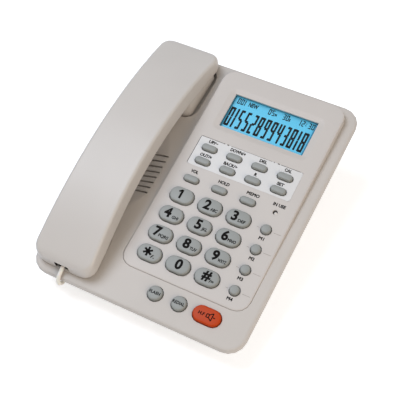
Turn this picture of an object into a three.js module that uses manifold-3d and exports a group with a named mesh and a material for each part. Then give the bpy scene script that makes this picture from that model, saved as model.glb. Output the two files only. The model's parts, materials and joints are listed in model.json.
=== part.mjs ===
// A corded desk telephone with a caller display: a wedge-shaped base with its keys, a handset
// lying in the cradle along the left side, and the curly handset cord.
// Millimetres. +X is the user's right, +Y the back of the telephone, +Z up. The base stands on
// Z = 0 with the origin under the centre of the telephone.
// Two tilted frames carry most of the pieces. On the deck frame X is the telephone's own, Y runs
// up the deck from its front edge, and Z stands out of the deck. The panel frame lies in it, with
// its origin at the middle of the faceplate's front edge and tilted a little more.

import * as THREE from 'three';
import { mergeVertices } from 'three/addons/utils/BufferGeometryUtils.js';
import Module from 'manifold-3d';

const wasm = await Module();
wasm.setup();

// ---------------------------------------------------------------- driving dimensions

const clearance = 0.3;            // between pieces that seat on each other
const shellWall = 2.2;            // wall of the base's mouldings

// Base
const baseWidth = 176;
const baseLength = 221;           // along the deck
const baseCornerRadius = 14;
const deckTilt = 11;              // degrees
const frontHeight = 24;           // top of the deck's front edge above the ground
const rimHeight = 5.5;            // side wall of the upper shell
const rimEdgeRadius = 2.5;
const seamLip = 1.5;              // the lower shell stands back this far under the rim
const lipThickness = 1.4;
const skirtInset = 8;             // lower shell's right and back walls, in from the rim
const leftSkirtInset = 1.5;
const frontSkirtInset = 15;
const rightDraft = 12;            // how much further in the right wall stands at the ground
const leftDraft = 2.5;
const frontDraft = 3;
const footHeight = 2.5;
const footRadius = 8;
const footInset = 14;             // foot's centre, in from the lower shell's edges
const footRecess = 0.8;

// Faceplate with the display and the dial keys
const plateWidth = 104.5;
const plateCornerRadius = 10.5;
const plateX = 26.05;
const plateFront = 30.2;
const plateBack = 5.6;            // deck left behind the faceplate
const plateLength = baseLength - plateFront - plateBack;
const plateFrontRise = 0.4;
const panelTilt = 2;              // degrees, steeper than the deck
const plateEdgeRadius = 1.6;
const plateThickness = 2.2;
const flangeWidth = 1.8;
const flangeThickness = 1.8;

// Keys
const keyRise = 2.6;              // key tops above the surface round them
const keyTravel = 1.5;
const keyFlange = 0.9;
const keyFlangeThickness = 1.3;
const keyEdgeRadius = 1;
const dialKeyWidth = 20.2;
const dialKeyHeight = 13.2;
const dialPitchX = 24;
const dialPitchY = 0.0936 * plateLength;
const dialX = -8.85;
const dialTopRow = 0.3596 * plateLength;
const slimKeyWidth = 13.2;
const slimKeyHeight = 6;
const functionPitchX = 21.47;
const functionLowerRow = 0.5383 * plateLength;
const functionPitchY = 0.0656 * plateLength;
const lineRow = 0.4444 * plateLength;
const memoryKeyDiameter = 8.5;
const memoryX = 37.85;
const memoryPitchY = 0.0948 * plateLength;
const roundKeyDiameter = 12.2;
const flashKeyX = 12.1;
const redialKeyX = 31.8;
const speakerKeyX = 54.5;
const speakerKeyWidth = 22.6;
const speakerKeyHeight = 13.3;
const frontKeyRow = 18.5;

// Display and the pieces under the faceplate
const displayWidth = 71.4;
const displayHeight = 31.3;
const displayX = 0.1;
const displayY = 0.811 * plateLength;
const displayMarginX = 6;
const displayMarginY = 5;
const displayRecess = 1.1;
const displayCornerRadius = 6;
const displayOverlap = 2.5;       // window beyond the opening on each side
const windowThickness = 1.2;
const glassThickness = 1.8;
const labelWidth = 86.7;
const labelHeight = 0.1398 * plateLength;
const labelX = 0;
const labelY = 0.5807 * plateLength;
const labelThickness = 0.8;
const boardThickness = 1.6;
const boardMargin = 3.5;
const boardGap = 1;               // inside the lower shell's walls
const matThickness = 1.4;
const postRadius = 2.6;
const lampDiameter = 3.9;

// Handset and its cradle
const handsetGripWidth = 47;
const handsetEndWidth = 51;
const handsetX = -60;
const handsetFront = 6.5;         // handset's near end behind the deck's front edge
const handsetBack = 0.5;          // and its far end in front of the deck's back edge
const handsetLength = baseLength - handsetFront - handsetBack;
const handsetPeak = 34;           // top of the arch above the deck
const handsetArch = 21;           // how far the ends lie below the peak
const handsetRest = 0.8;          // ends of the handset above the deck
const gripThickness = 17.5;
const handsetCornerRadius = 9;    // its four corners seen from above
const handsetEndRadius = 3.5;     // edge between its top and its end faces
const handsetTopRadius = 5.5;
const handsetBottomRadius = 3.5;
const cupDrop = 4;                // cups below the deck's surface
const mouthCupStart = 4;
const mouthCupLength = 38;
const mouthCupWidth = 40;
const earCupLength = 47.5;
const earCupEnd = 8.5;            // from the cup to the handset's far end
const earCupStart = handsetLength - earCupLength - earCupEnd;
const earCupWidth = 50;
const cupCornerRadius = 9;
const cupStep = 0.3;              // the cups' sides stand in from the handset's
const handsetWall = 2;
const partingDepth = 15.5;        // parting line below the handset's top
const wellGap = 1;
const earpieceRadius = 18;
const earpieceHeight = 8;
const microphoneRadius = 4.8;
const microphoneHeight = 6;
const soundHoleRadius = 1.3;

// Finger scoop, grille and loudspeaker
const scoopX = -57;
const scoopY = 0.4855 * baseLength;
const scoopHalfWidth = 28;
const scoopHalfLength = 0.2172 * baseLength;
const scoopDepth = 9;
const scoopLip = 0.3;
const slotCount = 8;
const slotPitch = 5;
const slotWidth = 1.4;
const slotLength = 18.6;
const slotEndX = -34;
const speakerRadius = 20;
const speakerDepth = 14;
const speakerRingWall = 1.8;

// Cradle switch
const plungerWidth = 7;
const plungerLength = 5;
const plungerTravel = 4;
const plungerX = -60;
const plungerY = handsetFront + earCupStart + 0.58 * earCupLength;
const plungerFlange = 2;
const switchWidth = 13;
const switchDepth = 6.5;
const switchHeight = 7;

// Rear wall: sockets and ringer switch
const jackWall = 1.2;
const jackDepth = 14;
const lineJackX = 44;
const lineJackWidth = 14;
const handsetJackX = -48;
const handsetJackWidth = 12;
const plugWidth = 7.6;
const plugHeight = 6;
const latchRoom = 2;              // under the plug, for its latch
const plugInsertion = 10;
const plugGrip = 4;               // plug outside its socket
const notchWidth = 12;
const linePlugWidth = 9.6;
const latchWidth = 3;
const ringerX = -31;
const ringerZ = 14;
const ringerKnobWidth = 4;
const ringerKnobHeight = 3.4;
const ringerTravel = 5;
const screwPostRadius = 4.5;
const screwRadius = 1.5;
const screwHeadRadius = 3;
const screwHeadDepth = 4;

// Battery bay under the base
const doorWidth = 50;
const doorLength = 44;
const doorThickness = 1.8;
const doorX = 8;
const bayHeight = 14;
const bayWall = 1.8;

// Handset cord
const cordDiameter = 3.3;
const curlyDiameter = 11.5;       // outside the turns

// Top of the circuit board below the panel: a pressed key just clears the mat that lies on it.
const boardDepth = plateThickness + keyFlangeThickness + keyTravel + matThickness + 3 * clearance;

// ---------------------------------------------------------------- materials

function plastic(color, roughness) {
  return new THREE.MeshStandardMaterial({ color, roughness, metalness: 0 });
}

const shellPlastic = plastic('#d2ccc6', 0.42);
const handsetPlastic = plastic('#d6d0cb', 0.42);
const keyPlastic = plastic('#a3a6a4', 0.45);
const orangePlastic = plastic('#d65a26', 0.4);
const labelPlastic = plastic('#e6e5e3', 0.5);
const cordPlastic = plastic('#e9e6e1', 0.4);
const darkPlastic = plastic('#2c2c2e', 0.55);
const displayBlue = plastic('#79cdf2', 0.3);
const clearPlastic = new THREE.MeshStandardMaterial({
  color: '#dff2fa', roughness: 0.08, metalness: 0, transparent: true, opacity: 0.3 });
const boardGreen = plastic('#2f6b3f', 0.6);
const siliconeRubber = plastic('#b9bbb8', 0.8);
const footRubber = plastic('#3a3a3a', 0.9);
const lampPlastic = plastic('#d9d4c8', 0.25);

// ---------------------------------------------------------------- modelling helpers

const radians = THREE.MathUtils.degToRad;

// Closed ring of a rounded rectangle about (x, y), counterclockwise.
function roundedRectangle(width, height, radius, x = 0, y = 0, cornerSteps = 4) {
  const points = [];
  for (let corner = 0; corner < 4; corner++) {
    const sideX = corner === 0 || corner === 3 ? 1 : -1;
    const sideY = corner < 2 ? 1 : -1;
    for (let step = 0; step <= cornerSteps; step++) {
      const angle = (corner + step / cornerSteps) * Math.PI / 2;
      points.push(new THREE.Vector2(
        x + sideX * (width / 2 - radius) + radius * Math.cos(angle),
        y + sideY * (height / 2 - radius) + radius * Math.sin(angle)));
    }
  }
  return points;
}

// Closed ring of a key's outline: two half circles joined by straight sides.
function stadium(width, height, x = 0, y = 0, count = 16) {
  const radius = height / 2;
  const shift = (width - height) / 2;
  const half = count / 2;
  const points = [];
  for (let i = 0; i < count; i++) {
    const side = i < half ? 1 : -1;
    const step = shift > 0 ? (i % half) / (half - 1) : (i % half + 0.5) / half;
    const angle = Math.PI * (step - side / 2);
    points.push(new THREE.Vector2(
      x + side * shift + radius * Math.cos(angle), y + radius * Math.sin(angle)));
  }
  return points;
}

function circle(radius, x = 0, y = 0, count = 16) {
  return stadium(2 * radius, 2 * radius, x, y, count);
}

function rectangle(width, height, x = 0, y = 0) {
  return [[1, -1], [1, 1], [-1, 1], [-1, -1]].map(([sideX, sideY]) => (
    new THREE.Vector2(x + sideX * width / 2, y + sideY * height / 2)));
}

// A flat outline extruded from one height to another.
function prism(outline, bottom, top) {
  const settings = { depth: top - bottom, bevelEnabled: false };
  return new THREE.ExtrudeGeometry(new THREE.Shape(outline), settings).translate(0, 0, bottom);
}

// An outline laid at a height, as one section of a loft.
function at(outline, height) {
  return outline.map((point) => new THREE.Vector3(point.x, point.y, height));
}

// A closed solid through a row of convex sections that have the same number of points.
function loft(sections) {
  const count = sections[0].length;
  const last = sections.length - 1;
  const ring = new THREE.Shape(circle(1, 0, 0, count));
  const geometry = new THREE.ExtrudeGeometry(ring, { depth: last, steps: last, bevelEnabled: false });
  const position = geometry.getAttribute('position');
  for (let i = 0; i < position.count; i++) {
    const turn = Math.atan2(position.getY(i), position.getX(i)) / (2 * Math.PI) + 0.25;
    const index = (Math.round(turn * count - 0.5) + count) % count;
    const point = sections[Math.round(position.getZ(i))][index];
    position.setXYZ(i, point.x, point.y, point.z);
  }
  return geometry;
}

function lathe(profile, segments) {
  const points = profile.map(([radius, height]) => new THREE.Vector2(radius, height));
  return new THREE.LatheGeometry(points, segments).rotateX(Math.PI / 2);
}

function solid(geometry, matrix = new THREE.Matrix4()) {
  const bare = geometry.clone().applyMatrix4(matrix);
  bare.deleteAttribute('normal');
  bare.deleteAttribute('uv');
  const merged = mergeVertices(bare, 1e-5);
  return new wasm.Manifold(new wasm.Mesh({
    numProp: 3,
    vertProperties: Float32Array.from(merged.getAttribute('position').array),
    triVerts: Uint32Array.from(merged.index.array),
  }));
}

function join(first, ...others) {
  return others.reduce((sum, other) => sum.add(other), first);
}

function cut(body, ...tools) {
  return tools.reduce((rest, tool) => rest.subtract(tool), body);
}

function geometryOf(body) {
  const { vertProperties, triVerts } = body.getMesh();
  const geometry = new THREE.BufferGeometry();
  geometry.setAttribute('position', new THREE.BufferAttribute(vertProperties, 3));
  geometry.setIndex(new THREE.BufferAttribute(triVerts, 1));
  geometry.computeVertexNormals();
  return geometry;
}

function piece(parent, name, geometry, material) {
  const mesh = new THREE.Mesh(geometry, material);
  mesh.name = name;
  parent.add(mesh);
  return mesh;
}

// ---------------------------------------------------------------- frames

const phone = new THREE.Group();

const deck = new THREE.Group();
deck.position.z = frontHeight;
deck.rotation.x = radians(deckTilt);
phone.add(deck);

const panel = new THREE.Group();
panel.position.set(plateX, plateFront, plateFrontRise);
panel.rotation.x = radians(panelTilt);
deck.add(panel);

const handset = new THREE.Group();
handset.position.set(handsetX, handsetFront, 0);
deck.add(handset);

phone.updateMatrixWorld(true);
const deckMatrix = deck.matrix;
const panelOnDeck = panel.matrix;

const deckPoint = (x, y, z) => new THREE.Vector3(x, y, z).applyMatrix4(deckMatrix);

// ---------------------------------------------------------------- handset form

const handsetMiddle = handsetLength / 2;
const archRadius = (handsetMiddle ** 2 + handsetArch ** 2) / (2 * handsetArch);

function archDrop(y, radius) {
  return radius - Math.sqrt(radius ** 2 - (y - handsetMiddle) ** 2);
}

function handsetTop(y) {
  return handsetPeak - archDrop(y, archRadius);
}

function gripUnderside(y) {
  return handsetPeak - gripThickness - archDrop(y, archRadius - gripThickness);
}

function handsetUnderside(y) {
  return Math.max(gripUnderside(y), handsetRest);
}

function handsetHalfWidth(y) {
  const flare = ((y - handsetMiddle) / handsetMiddle) ** 2;
  return THREE.MathUtils.lerp(handsetGripWidth, handsetEndWidth, flare) / 2;
}

// How far a quarter round of this radius has drawn in at a distance from its end.
function roundInset(radius, fromEnd) {
  const intoEnd = Math.max(0, radius - fromEnd);
  return radius - Math.sqrt(radius ** 2 - intoEnd ** 2);
}

// Positions along the handset where its section is drawn: close together at the round ends.
function handsetStations() {
  const roundEnd = [0, 18, 34, 50, 68, 90].map((angle) => (
    handsetCornerRadius * (1 - Math.cos(radians(angle)))));
  const steps = 12;
  const straight = Array.from({ length: steps - 1 }, (_, i) => (
    THREE.MathUtils.lerp(handsetCornerRadius, handsetLength - handsetCornerRadius, (i + 1) / steps)));
  return [...roundEnd, ...straight, ...roundEnd.reverse().map((step) => handsetLength - step)];
}

// One section of the handset, drawn in from the outside by inset: a rounded box whose corners are
// larger on top, and which shrinks towards the handset's round ends.
function handsetSection(y, inset, underside, cornerSteps = 3) {
  const fromEnd = Math.min(y, handsetLength - y);
  const halfWidth = handsetHalfWidth(y) - roundInset(handsetCornerRadius, fromEnd) - inset;
  const top = handsetTop(y) - roundInset(handsetEndRadius, fromEnd) - inset;
  const bottom = underside(y) + inset;
  const place = handsetMiddle + (y - handsetMiddle) * (1 - 2 * inset / handsetLength);
  const points = [];
  for (let corner = 0; corner < 4; corner++) {
    const radius = (corner < 2 ? handsetTopRadius : handsetBottomRadius) - inset / 2;
    const sideX = corner === 0 || corner === 3 ? 1 : -1;
    const centreZ = corner < 2 ? top - radius : bottom + radius;
    for (let step = 0; step <= cornerSteps; step++) {
      const angle = (corner + step / cornerSteps) * Math.PI / 2;
      const x = sideX * (halfWidth - radius) + radius * Math.cos(angle);
      points.push(new THREE.Vector3(x, place, centreZ + radius * Math.sin(angle)));
    }
  }
  return points.reverse();
}

function handsetLoft(inset, underside) {
  return solid(loft(handsetStations().map((y) => handsetSection(y, inset, underside))));
}

const cups = [
  { start: mouthCupStart, length: mouthCupLength, width: mouthCupWidth },
  { start: earCupStart, length: earCupLength, width: earCupWidth },
];

function cupOutline(cup, grow) {
  return roundedRectangle(cup.width + 2 * grow, cup.length + 2 * grow, cupCornerRadius + grow,
    0, cup.start + cup.length / 2);
}

// The whole handset, drawn in by inset: the arched grip, and the two cups that reach below it.
function handsetBody(inset) {
  const deep = handsetLoft(inset + cupStep, () => -cupDrop - cupStep);
  const cupBodies = cups.map((cup) => {
    const top = Math.min(handsetTop(cup.start), handsetTop(cup.start + cup.length));
    return deep.intersect(solid(
      prism(cupOutline(cup, -inset), -2 * cupDrop, top - handsetWall - 2 * cupStep)));
  });
  return join(handsetLoft(inset, handsetUnderside), ...cupBodies);
}

// Everything above a line that follows the arch, as wide as the handset and more.
function abovePartingLine(offset) {
  const steps = 24;
  const side = [];
  for (let i = 0; i <= steps; i++) {
    const y = handsetLength * i / steps;
    side.push(new THREE.Vector2(y, handsetTop(y) - partingDepth + offset));
  }
  side[0].x -= 1;
  side[steps].x += 1;
  side.push(new THREE.Vector2(handsetLength + 1, 2 * handsetPeak), new THREE.Vector2(-1, 2 * handsetPeak));
  return solid(alongX(side, 2 * handsetEndWidth));
}

// ---------------------------------------------------------------- base: shared outlines

function rimOutline(inset) {
  return roundedRectangle(
    baseWidth - 2 * inset, baseLength - 2 * inset, baseCornerRadius - inset, 0, baseLength / 2);
}

// The lower shell's wall where it leaves the lip under the rim, on the deck frame.
function skirtOutline(inset) {
  const front = frontSkirtInset + inset;
  const back = baseLength - skirtInset - inset;
  const left = leftSkirtInset + inset - baseWidth / 2;
  const right = baseWidth / 2 - skirtInset - inset;
  return roundedRectangle(right - left, back - front, baseCornerRadius - inset,
    (left + right) / 2, (front + back) / 2);
}

const floorTop = footHeight + shellWall;
const lipTop = -rimHeight - clearance;
const tubTop = lipTop - lipThickness / 2;
const groundFront = deckPoint(0, frontSkirtInset, tubTop).y + frontDraft;
const groundBack = deckPoint(0, baseLength - skirtInset, tubTop).y;
const groundLeft = leftSkirtInset + leftDraft - baseWidth / 2;
const groundRight = baseWidth / 2 - skirtInset - rightDraft;

function groundOutline(inset) {
  return roundedRectangle(groundRight - groundLeft - 2 * inset, groundBack - groundFront - 2 * inset,
    baseCornerRadius - inset, (groundLeft + groundRight) / 2, (groundFront + groundBack) / 2);
}

// The room inside the lower shell's walls, open at the top.
function baseRoom(inset) {
  const onDeck = (height) => skirtOutline(inset).map((point) => deckPoint(point.x, point.y, height));
  return solid(loft([at(groundOutline(inset), floorTop), onDeck(tubTop), onDeck(rimHeight)]));
}

function plateOutline(inset) {
  return roundedRectangle(plateWidth - 2 * inset, plateLength - 2 * inset,
    plateCornerRadius - inset, plateX, plateFront + plateLength / 2);
}

function frontKeys() {
  return [
    { name: 'key_flash', x: flashKeyX, width: roundKeyDiameter, height: roundKeyDiameter },
    { name: 'key_redial', x: redialKeyX, width: roundKeyDiameter, height: roundKeyDiameter },
    { name: 'key_speaker', x: speakerKeyX, width: speakerKeyWidth, height: speakerKeyHeight },
  ].map((key) => ({ ...key, y: frontKeyRow }));
}

function panelKeys() {
  const dial = ['1', '2', '3', '4', '5', '6', '7', '8', '9', 'star', '0', 'hash'].map((face, i) => ({
    name: `key_${face}`,
    x: dialX + (i % 3 - 1) * dialPitchX,
    y: dialTopRow - Math.floor(i / 3) * dialPitchY,
    width: dialKeyWidth,
    height: dialKeyHeight,
  }));
  const functions = ['up', 'down', 'delete', 'call', 'out', 'back', 'answer', 'set'].map((face, i) => ({
    name: `key_${face}`,
    x: labelX + (i % 4 - 1.5) * functionPitchX,
    y: functionLowerRow + (i < 4 ? functionPitchY : 0),
    width: slimKeyWidth,
    height: slimKeyHeight,
  }));
  const line = ['volume', 'hold', 'memo'].map((face, i) => ({
    name: `key_${face}`,
    x: dialX + (i - 1) * dialPitchX,
    y: lineRow,
    width: slimKeyWidth,
    height: slimKeyHeight,
  }));
  const memory = [1, 2, 3, 4].map((number, i) => ({
    name: `key_m${number}`,
    x: memoryX,
    y: dialTopRow - i * memoryPitchY,
    width: memoryKeyDiameter,
    height: memoryKeyDiameter,
  }));
  return [...dial, ...functions, ...line, ...memory];
}

function keyRing(key, grow) {
  const count = key.height > 10 ? 16 : 12;
  return stadium(key.width + 2 * grow, key.height + 2 * grow, key.x, key.y, count);
}

function keyHole(key) {
  return prism(keyRing(key, clearance), -rimHeight, rimHeight);
}

// ---------------------------------------------------------------- base: upper shell

const wellFloor = -cupDrop - clearance;

// Outline of the cradle well round a cup, grown by the wall where one is drawn.
function wellOutline(cup, grow) {
  return cupOutline(cup, wellGap + grow).map((point) => (
    new THREE.Vector2(point.x + handsetX, point.y + handsetFront)));
}

// The finger scoop under the grip: a bowl whose sides ease out into the deck, cut a little above
// the deck's surface.
function makeScoop() {
  const steps = 6;
  const profile = [[0, rimHeight], [1, rimHeight]];
  for (let i = steps; i >= 0; i--) {
    const depth = (scoopDepth + scoopLip) * (1 + Math.cos(Math.PI * i / steps)) / 2;
    profile.push([i / steps, scoopLip - depth]);
  }
  const bowl = lathe(profile.reverse(), 28).scale(scoopHalfWidth, scoopHalfLength, 1);
  return solid(bowl.translate(scoopX, scoopY, 0));
}

// The bulge under the deck that keeps the shell's wall under the scoop.
function makeScoopWall() {
  const ball = new THREE.SphereGeometry(1, 20, 10);
  ball.scale(0.8 * scoopHalfWidth, 0.8 * scoopHalfLength, scoopDepth + shellWall);
  return solid(ball.translate(scoopX, scoopY, 0));
}

const speakerTop = -scoopDepth - shellWall - clearance;

function makeUpperShell() {
  const outside = solid(loft([
    at(rimOutline(0.6), -rimHeight),
    at(rimOutline(0), -rimHeight + 0.6),
    at(rimOutline(0), -rimEdgeRadius),
    at(rimOutline(0.3 * rimEdgeRadius), -0.3 * rimEdgeRadius),
    at(rimOutline(rimEdgeRadius), 0),
  ]));
  const inside = solid(loft([
    at(rimOutline(shellWall), -rimHeight - 1),
    at(rimOutline(shellWall), -shellWall),
  ]));
  const underDeck = solid(prism(rimOutline(seamLip), -baseLength, -shellWall / 2));
  const wellWalls = cups.map((cup) => (
    solid(prism(wellOutline(cup, shellWall), wellFloor - shellWall, -shellWall / 2))));
  const wellHollows = cups.map((cup) => solid(prism(wellOutline(cup, 0), wellFloor, rimHeight)));
  const ringBottom = speakerTop - 8;
  const ringOuter = speakerRadius + clearance + speakerRingWall;
  const speakerRing = cut(
    solid(prism(circle(ringOuter, scoopX, scoopY, 24), ringBottom, -shellWall / 2)),
    solid(prism(circle(speakerRadius + clearance, scoopX, scoopY, 24),
      ringBottom - 1, speakerTop + clearance)));
  const slots = Array.from({ length: slotCount }, (_, i) => {
    const y = scoopY + (i - (slotCount - 1) / 2) * slotPitch;
    const outline = stadium(slotLength, slotWidth, slotEndX - slotLength / 2, y, 8);
    return solid(prism(outline, speakerTop, rimHeight));
  });
  const plungerHole = prism(rectangle(plungerWidth + 2 * clearance, plungerLength + 2 * clearance,
    plungerX, plungerY), wellFloor - 2 * shellWall, 0);
  const switchRibs = [-1, 1].map((side) => {
    const x = plungerX + side * (switchWidth / 2 + clearance + 0.75);
    const ribBottom = switchTop - switchHeight;
    return solid(prism(rectangle(1.5, switchDepth + 4, x, plungerY), ribBottom, wellFloor - 1));
  });
  const plateHole = prism(plateOutline(-clearance), -baseLength, rimHeight);
  const shell = join(cut(outside, inside),
    join(makeScoopWall(), speakerRing, ...wellWalls, ...switchRibs).intersect(underDeck));
  return cut(shell, makeScoop(), ...wellHollows, ...slots, solid(plungerHole), solid(plateHole),
    ...frontKeys().map((key) => solid(keyHole(key))));
}

// ---------------------------------------------------------------- base: cradle switch

const plungerTop = -cupDrop - clearance;
const plungerFlangeTop = wellFloor - shellWall - clearance - plungerTravel;
const plungerBottom = plungerFlangeTop - 1.4;
const switchTop = plungerBottom - clearance;

function makePlunger() {
  const flange = prism(rectangle(plungerWidth + 2 * plungerFlange, plungerLength + 2 * plungerFlange,
    plungerX, plungerY), plungerBottom, plungerFlangeTop);
  const stem = loft([
    at(roundedRectangle(plungerWidth, plungerLength, 1, plungerX, plungerY, 2), plungerBottom + 0.5),
    at(roundedRectangle(plungerWidth, plungerLength, 1, plungerX, plungerY, 2), plungerTop - 0.8),
    at(roundedRectangle(plungerWidth - 1.6, plungerLength - 1.6, 0.6, plungerX, plungerY, 2), plungerTop),
  ]);
  return join(solid(flange), solid(stem));
}

function makeHookSwitch() {
  const body = prism(rectangle(switchWidth, switchDepth, plungerX, plungerY),
    switchTop - switchHeight, switchTop);
  return solid(body);
}

// ---------------------------------------------------------------- base: faceplate

const panelSlope = Math.tan(radians(panelTilt));

// A plate outline laid at a depth below the panel's surface, on the deck frame.
function onPanel(outline, depth) {
  return outline.map((point) => new THREE.Vector3(
    point.x, point.y, plateFrontRise + (point.y - plateFront) * panelSlope - depth));
}

const flangeTop = -shellWall - clearance;
const flangeBottom = flangeTop - flangeThickness;

const displayOutline = (grow) => rectangle(
  displayWidth + 2 * grow, displayHeight + 2 * grow, displayX, displayY);

// The sloping frame sunk round the display.
function makeDisplayFrame() {
  const frame = (growX, growY, radius) => roundedRectangle(
    displayWidth + 2 * growX, displayHeight + 2 * growY, radius, displayX, displayY, 3);
  return loft([
    at(frame(0.3, 0.3, 1.3), -displayRecess),
    at(frame(0.7 * displayMarginX, 0.7 * displayMarginY, 0.7 * displayCornerRadius), -0.3 * displayRecess),
    at(frame(displayMarginX, displayMarginY, displayCornerRadius), 0.05),
  ]);
}

function labelOutline(grow) {
  return roundedRectangle(labelWidth + 2 * grow, labelHeight + 2 * grow, 1, labelX, labelY, 1);
}

// Posts that the circuit board screws to: three down each side beside the upper keys, and two
// between the dial keys and the front wall.
const boardPosts = [-1, 1].flatMap((side) => [
  ...[0.42, 0.68, 0.93].map((share) => ({
    x: side * (plateWidth / 2 - boardMargin - postRadius), y: share * plateLength })),
  { x: side * 0.2 * plateWidth, y: shellWall + postRadius / 2 },
]);

function makeFaceplate() {
  const body = solid(loft([
    at(plateOutline(0), flangeTop - 0.5),
    onPanel(plateOutline(0), plateEdgeRadius),
    onPanel(plateOutline(0.3 * plateEdgeRadius), 0.3 * plateEdgeRadius),
    onPanel(plateOutline(plateEdgeRadius), 0),
  ]));
  const flange = solid(prism(plateOutline(-flangeWidth), flangeBottom, flangeTop));
  const hollow = solid(loft([
    at(plateOutline(shellWall), flangeBottom - 1),
    onPanel(plateOutline(shellWall), plateThickness),
  ]));
  const posts = boardPosts.map((post) => solid(
    prism(circle(postRadius, post.x, post.y, 10), clearance - boardDepth, -plateThickness / 2),
    panelOnDeck));
  const tools = [
    makeDisplayFrame(),
    prism(displayOutline(0), -boardDepth, 1),
    prism(labelOutline(clearance), -labelThickness - clearance, 1),
    prism(circle(lampDiameter / 2 + clearance, memoryX, lineRow, 12), -boardDepth, 1),
    ...panelKeys().map(keyHole),
  ].map((geometry) => solid(geometry, panelOnDeck));
  return cut(join(cut(join(body, flange), hollow), ...posts), ...tools);
}

function makeLabelPlate() {
  const plate = solid(prism(labelOutline(0), -labelThickness, 0));
  const holes = panelKeys().slice(12, 20).map((key) => solid(keyHole(key)));
  return cut(plate, ...holes);
}

// ---------------------------------------------------------------- keys

// A key on a surface at height 0: a flange under the surface, then the cap with a rounded edge.
// The flange lies below a wall of the given thickness.
function makeKey(key, thickness) {
  const flangeHigh = -thickness - clearance;
  return loft([
    at(keyRing(key, keyFlange), flangeHigh - keyFlangeThickness),
    at(keyRing(key, keyFlange), flangeHigh),
    at(keyRing(key, 0), flangeHigh),
    at(keyRing(key, 0), keyRise - keyEdgeRadius),
    at(keyRing(key, -0.3 * keyEdgeRadius), keyRise - 0.3 * keyEdgeRadius),
    at(keyRing(key, -keyEdgeRadius), keyRise),
  ]);
}

// ---------------------------------------------------------------- display, board, mat, lamp

const windowTop = -plateThickness - clearance;
const glassTop = windowTop - windowThickness - clearance;
const lightTop = glassTop - glassThickness - clearance;
const lightBottom = clearance - boardDepth;

// A flat piece parallel to the panel, kept inside the lower shell's walls. On the deck frame.
function insideBase(outline, bottom, top) {
  const room = baseRoom(shellWall + boardGap).transform(deckMatrix.clone().invert().elements);
  return solid(prism(outline, bottom, top), panelOnDeck).intersect(room);
}

// The circuit board, from under the front keys to the back of the faceplate.
function makeBoard() {
  const back = plateLength - boardMargin;
  const outline = roundedRectangle(plateWidth - 2 * boardMargin, back + plateFront,
    plateCornerRadius - boardMargin, 0, (back - plateFront) / 2);
  return insideBase(outline, -boardDepth - boardThickness, -boardDepth);
}

// The rubber mat under the keys, between the board and the keys.
function makeMat() {
  const back = functionLowerRow + functionPitchY + slimKeyHeight;
  const width = plateWidth - 2 * boardMargin - 4 * postRadius - 4;
  const bottom = clearance - boardDepth;
  const sheet = rectangle(width, back + plateFront, 0, (back - plateFront) / 2);
  const lampHole = prism(circle(lampDiameter / 2 + 1, memoryX, lineRow, 8), -2 * boardDepth, 0);
  const postHoles = boardPosts.map((post) => (
    prism(circle(postRadius + clearance, post.x, post.y, 10), -2 * boardDepth, 0)));
  return cut(insideBase(sheet, bottom, bottom + matThickness),
    ...[lampHole, ...postHoles].map((hole) => solid(hole, panelOnDeck)));
}

function makeLamp() {
  const radius = lampDiameter / 2;
  return lathe([
    [0, clearance - boardDepth], [radius, clearance - boardDepth], [radius, 0],
    [0.7 * radius, 0.7 * radius], [0, radius],
  ], 12);
}

// ---------------------------------------------------------------- base: loudspeaker

function makeLoudspeaker() {
  return lathe([
    [0, speakerTop - speakerDepth], [0.55 * speakerRadius, speakerTop - speakerDepth],
    [0.55 * speakerRadius, speakerTop - speakerDepth / 2],
    [0.7 * speakerRadius, speakerTop - speakerDepth / 2],
    [speakerRadius, speakerTop - 0.1 * speakerRadius], [speakerRadius, speakerTop],
    [0, speakerTop],
  ], 24);
}

// ---------------------------------------------------------------- base: lower shell

const jackLow = -plugHeight / 2 - latchRoom - clearance - jackWall;
const jackHigh = plugHeight / 2 + clearance + jackWall;
const jackHeight = jackHigh - jackLow;
const jackMiddle = floorTop + clearance - jackLow;   // the plug's axis above the ground
const doorY = groundBack - doorLength / 2;
const bayTop = footHeight + doorThickness + clearance + bayHeight;

const feet = [groundLeft + footInset, groundRight - footInset].flatMap((x) => (
  [groundFront + footInset, groundBack - footInset].map((y) => ({ x, y }))));

// Posts for the screws that hold the upper shell, under the two cradle wells.
const screwPosts = cups.map((cup) => {
  const along = handsetFront + cup.start + cup.length - cupCornerRadius + wellGap;
  const top = deckPoint(handsetX, along, wellFloor - shellWall);
  const tiltRise = screwPostRadius * Math.tan(radians(deckTilt));
  return { x: handsetX, y: top.y, top: top.z - tiltRise - clearance };
});

// A rectangular hole through the rear wall, seen from behind.
function rearHole(width, height, x, z) {
  const depth = 3 * shellWall;
  return new THREE.BoxGeometry(width, depth, height).translate(x, groundBack, z);
}

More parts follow.
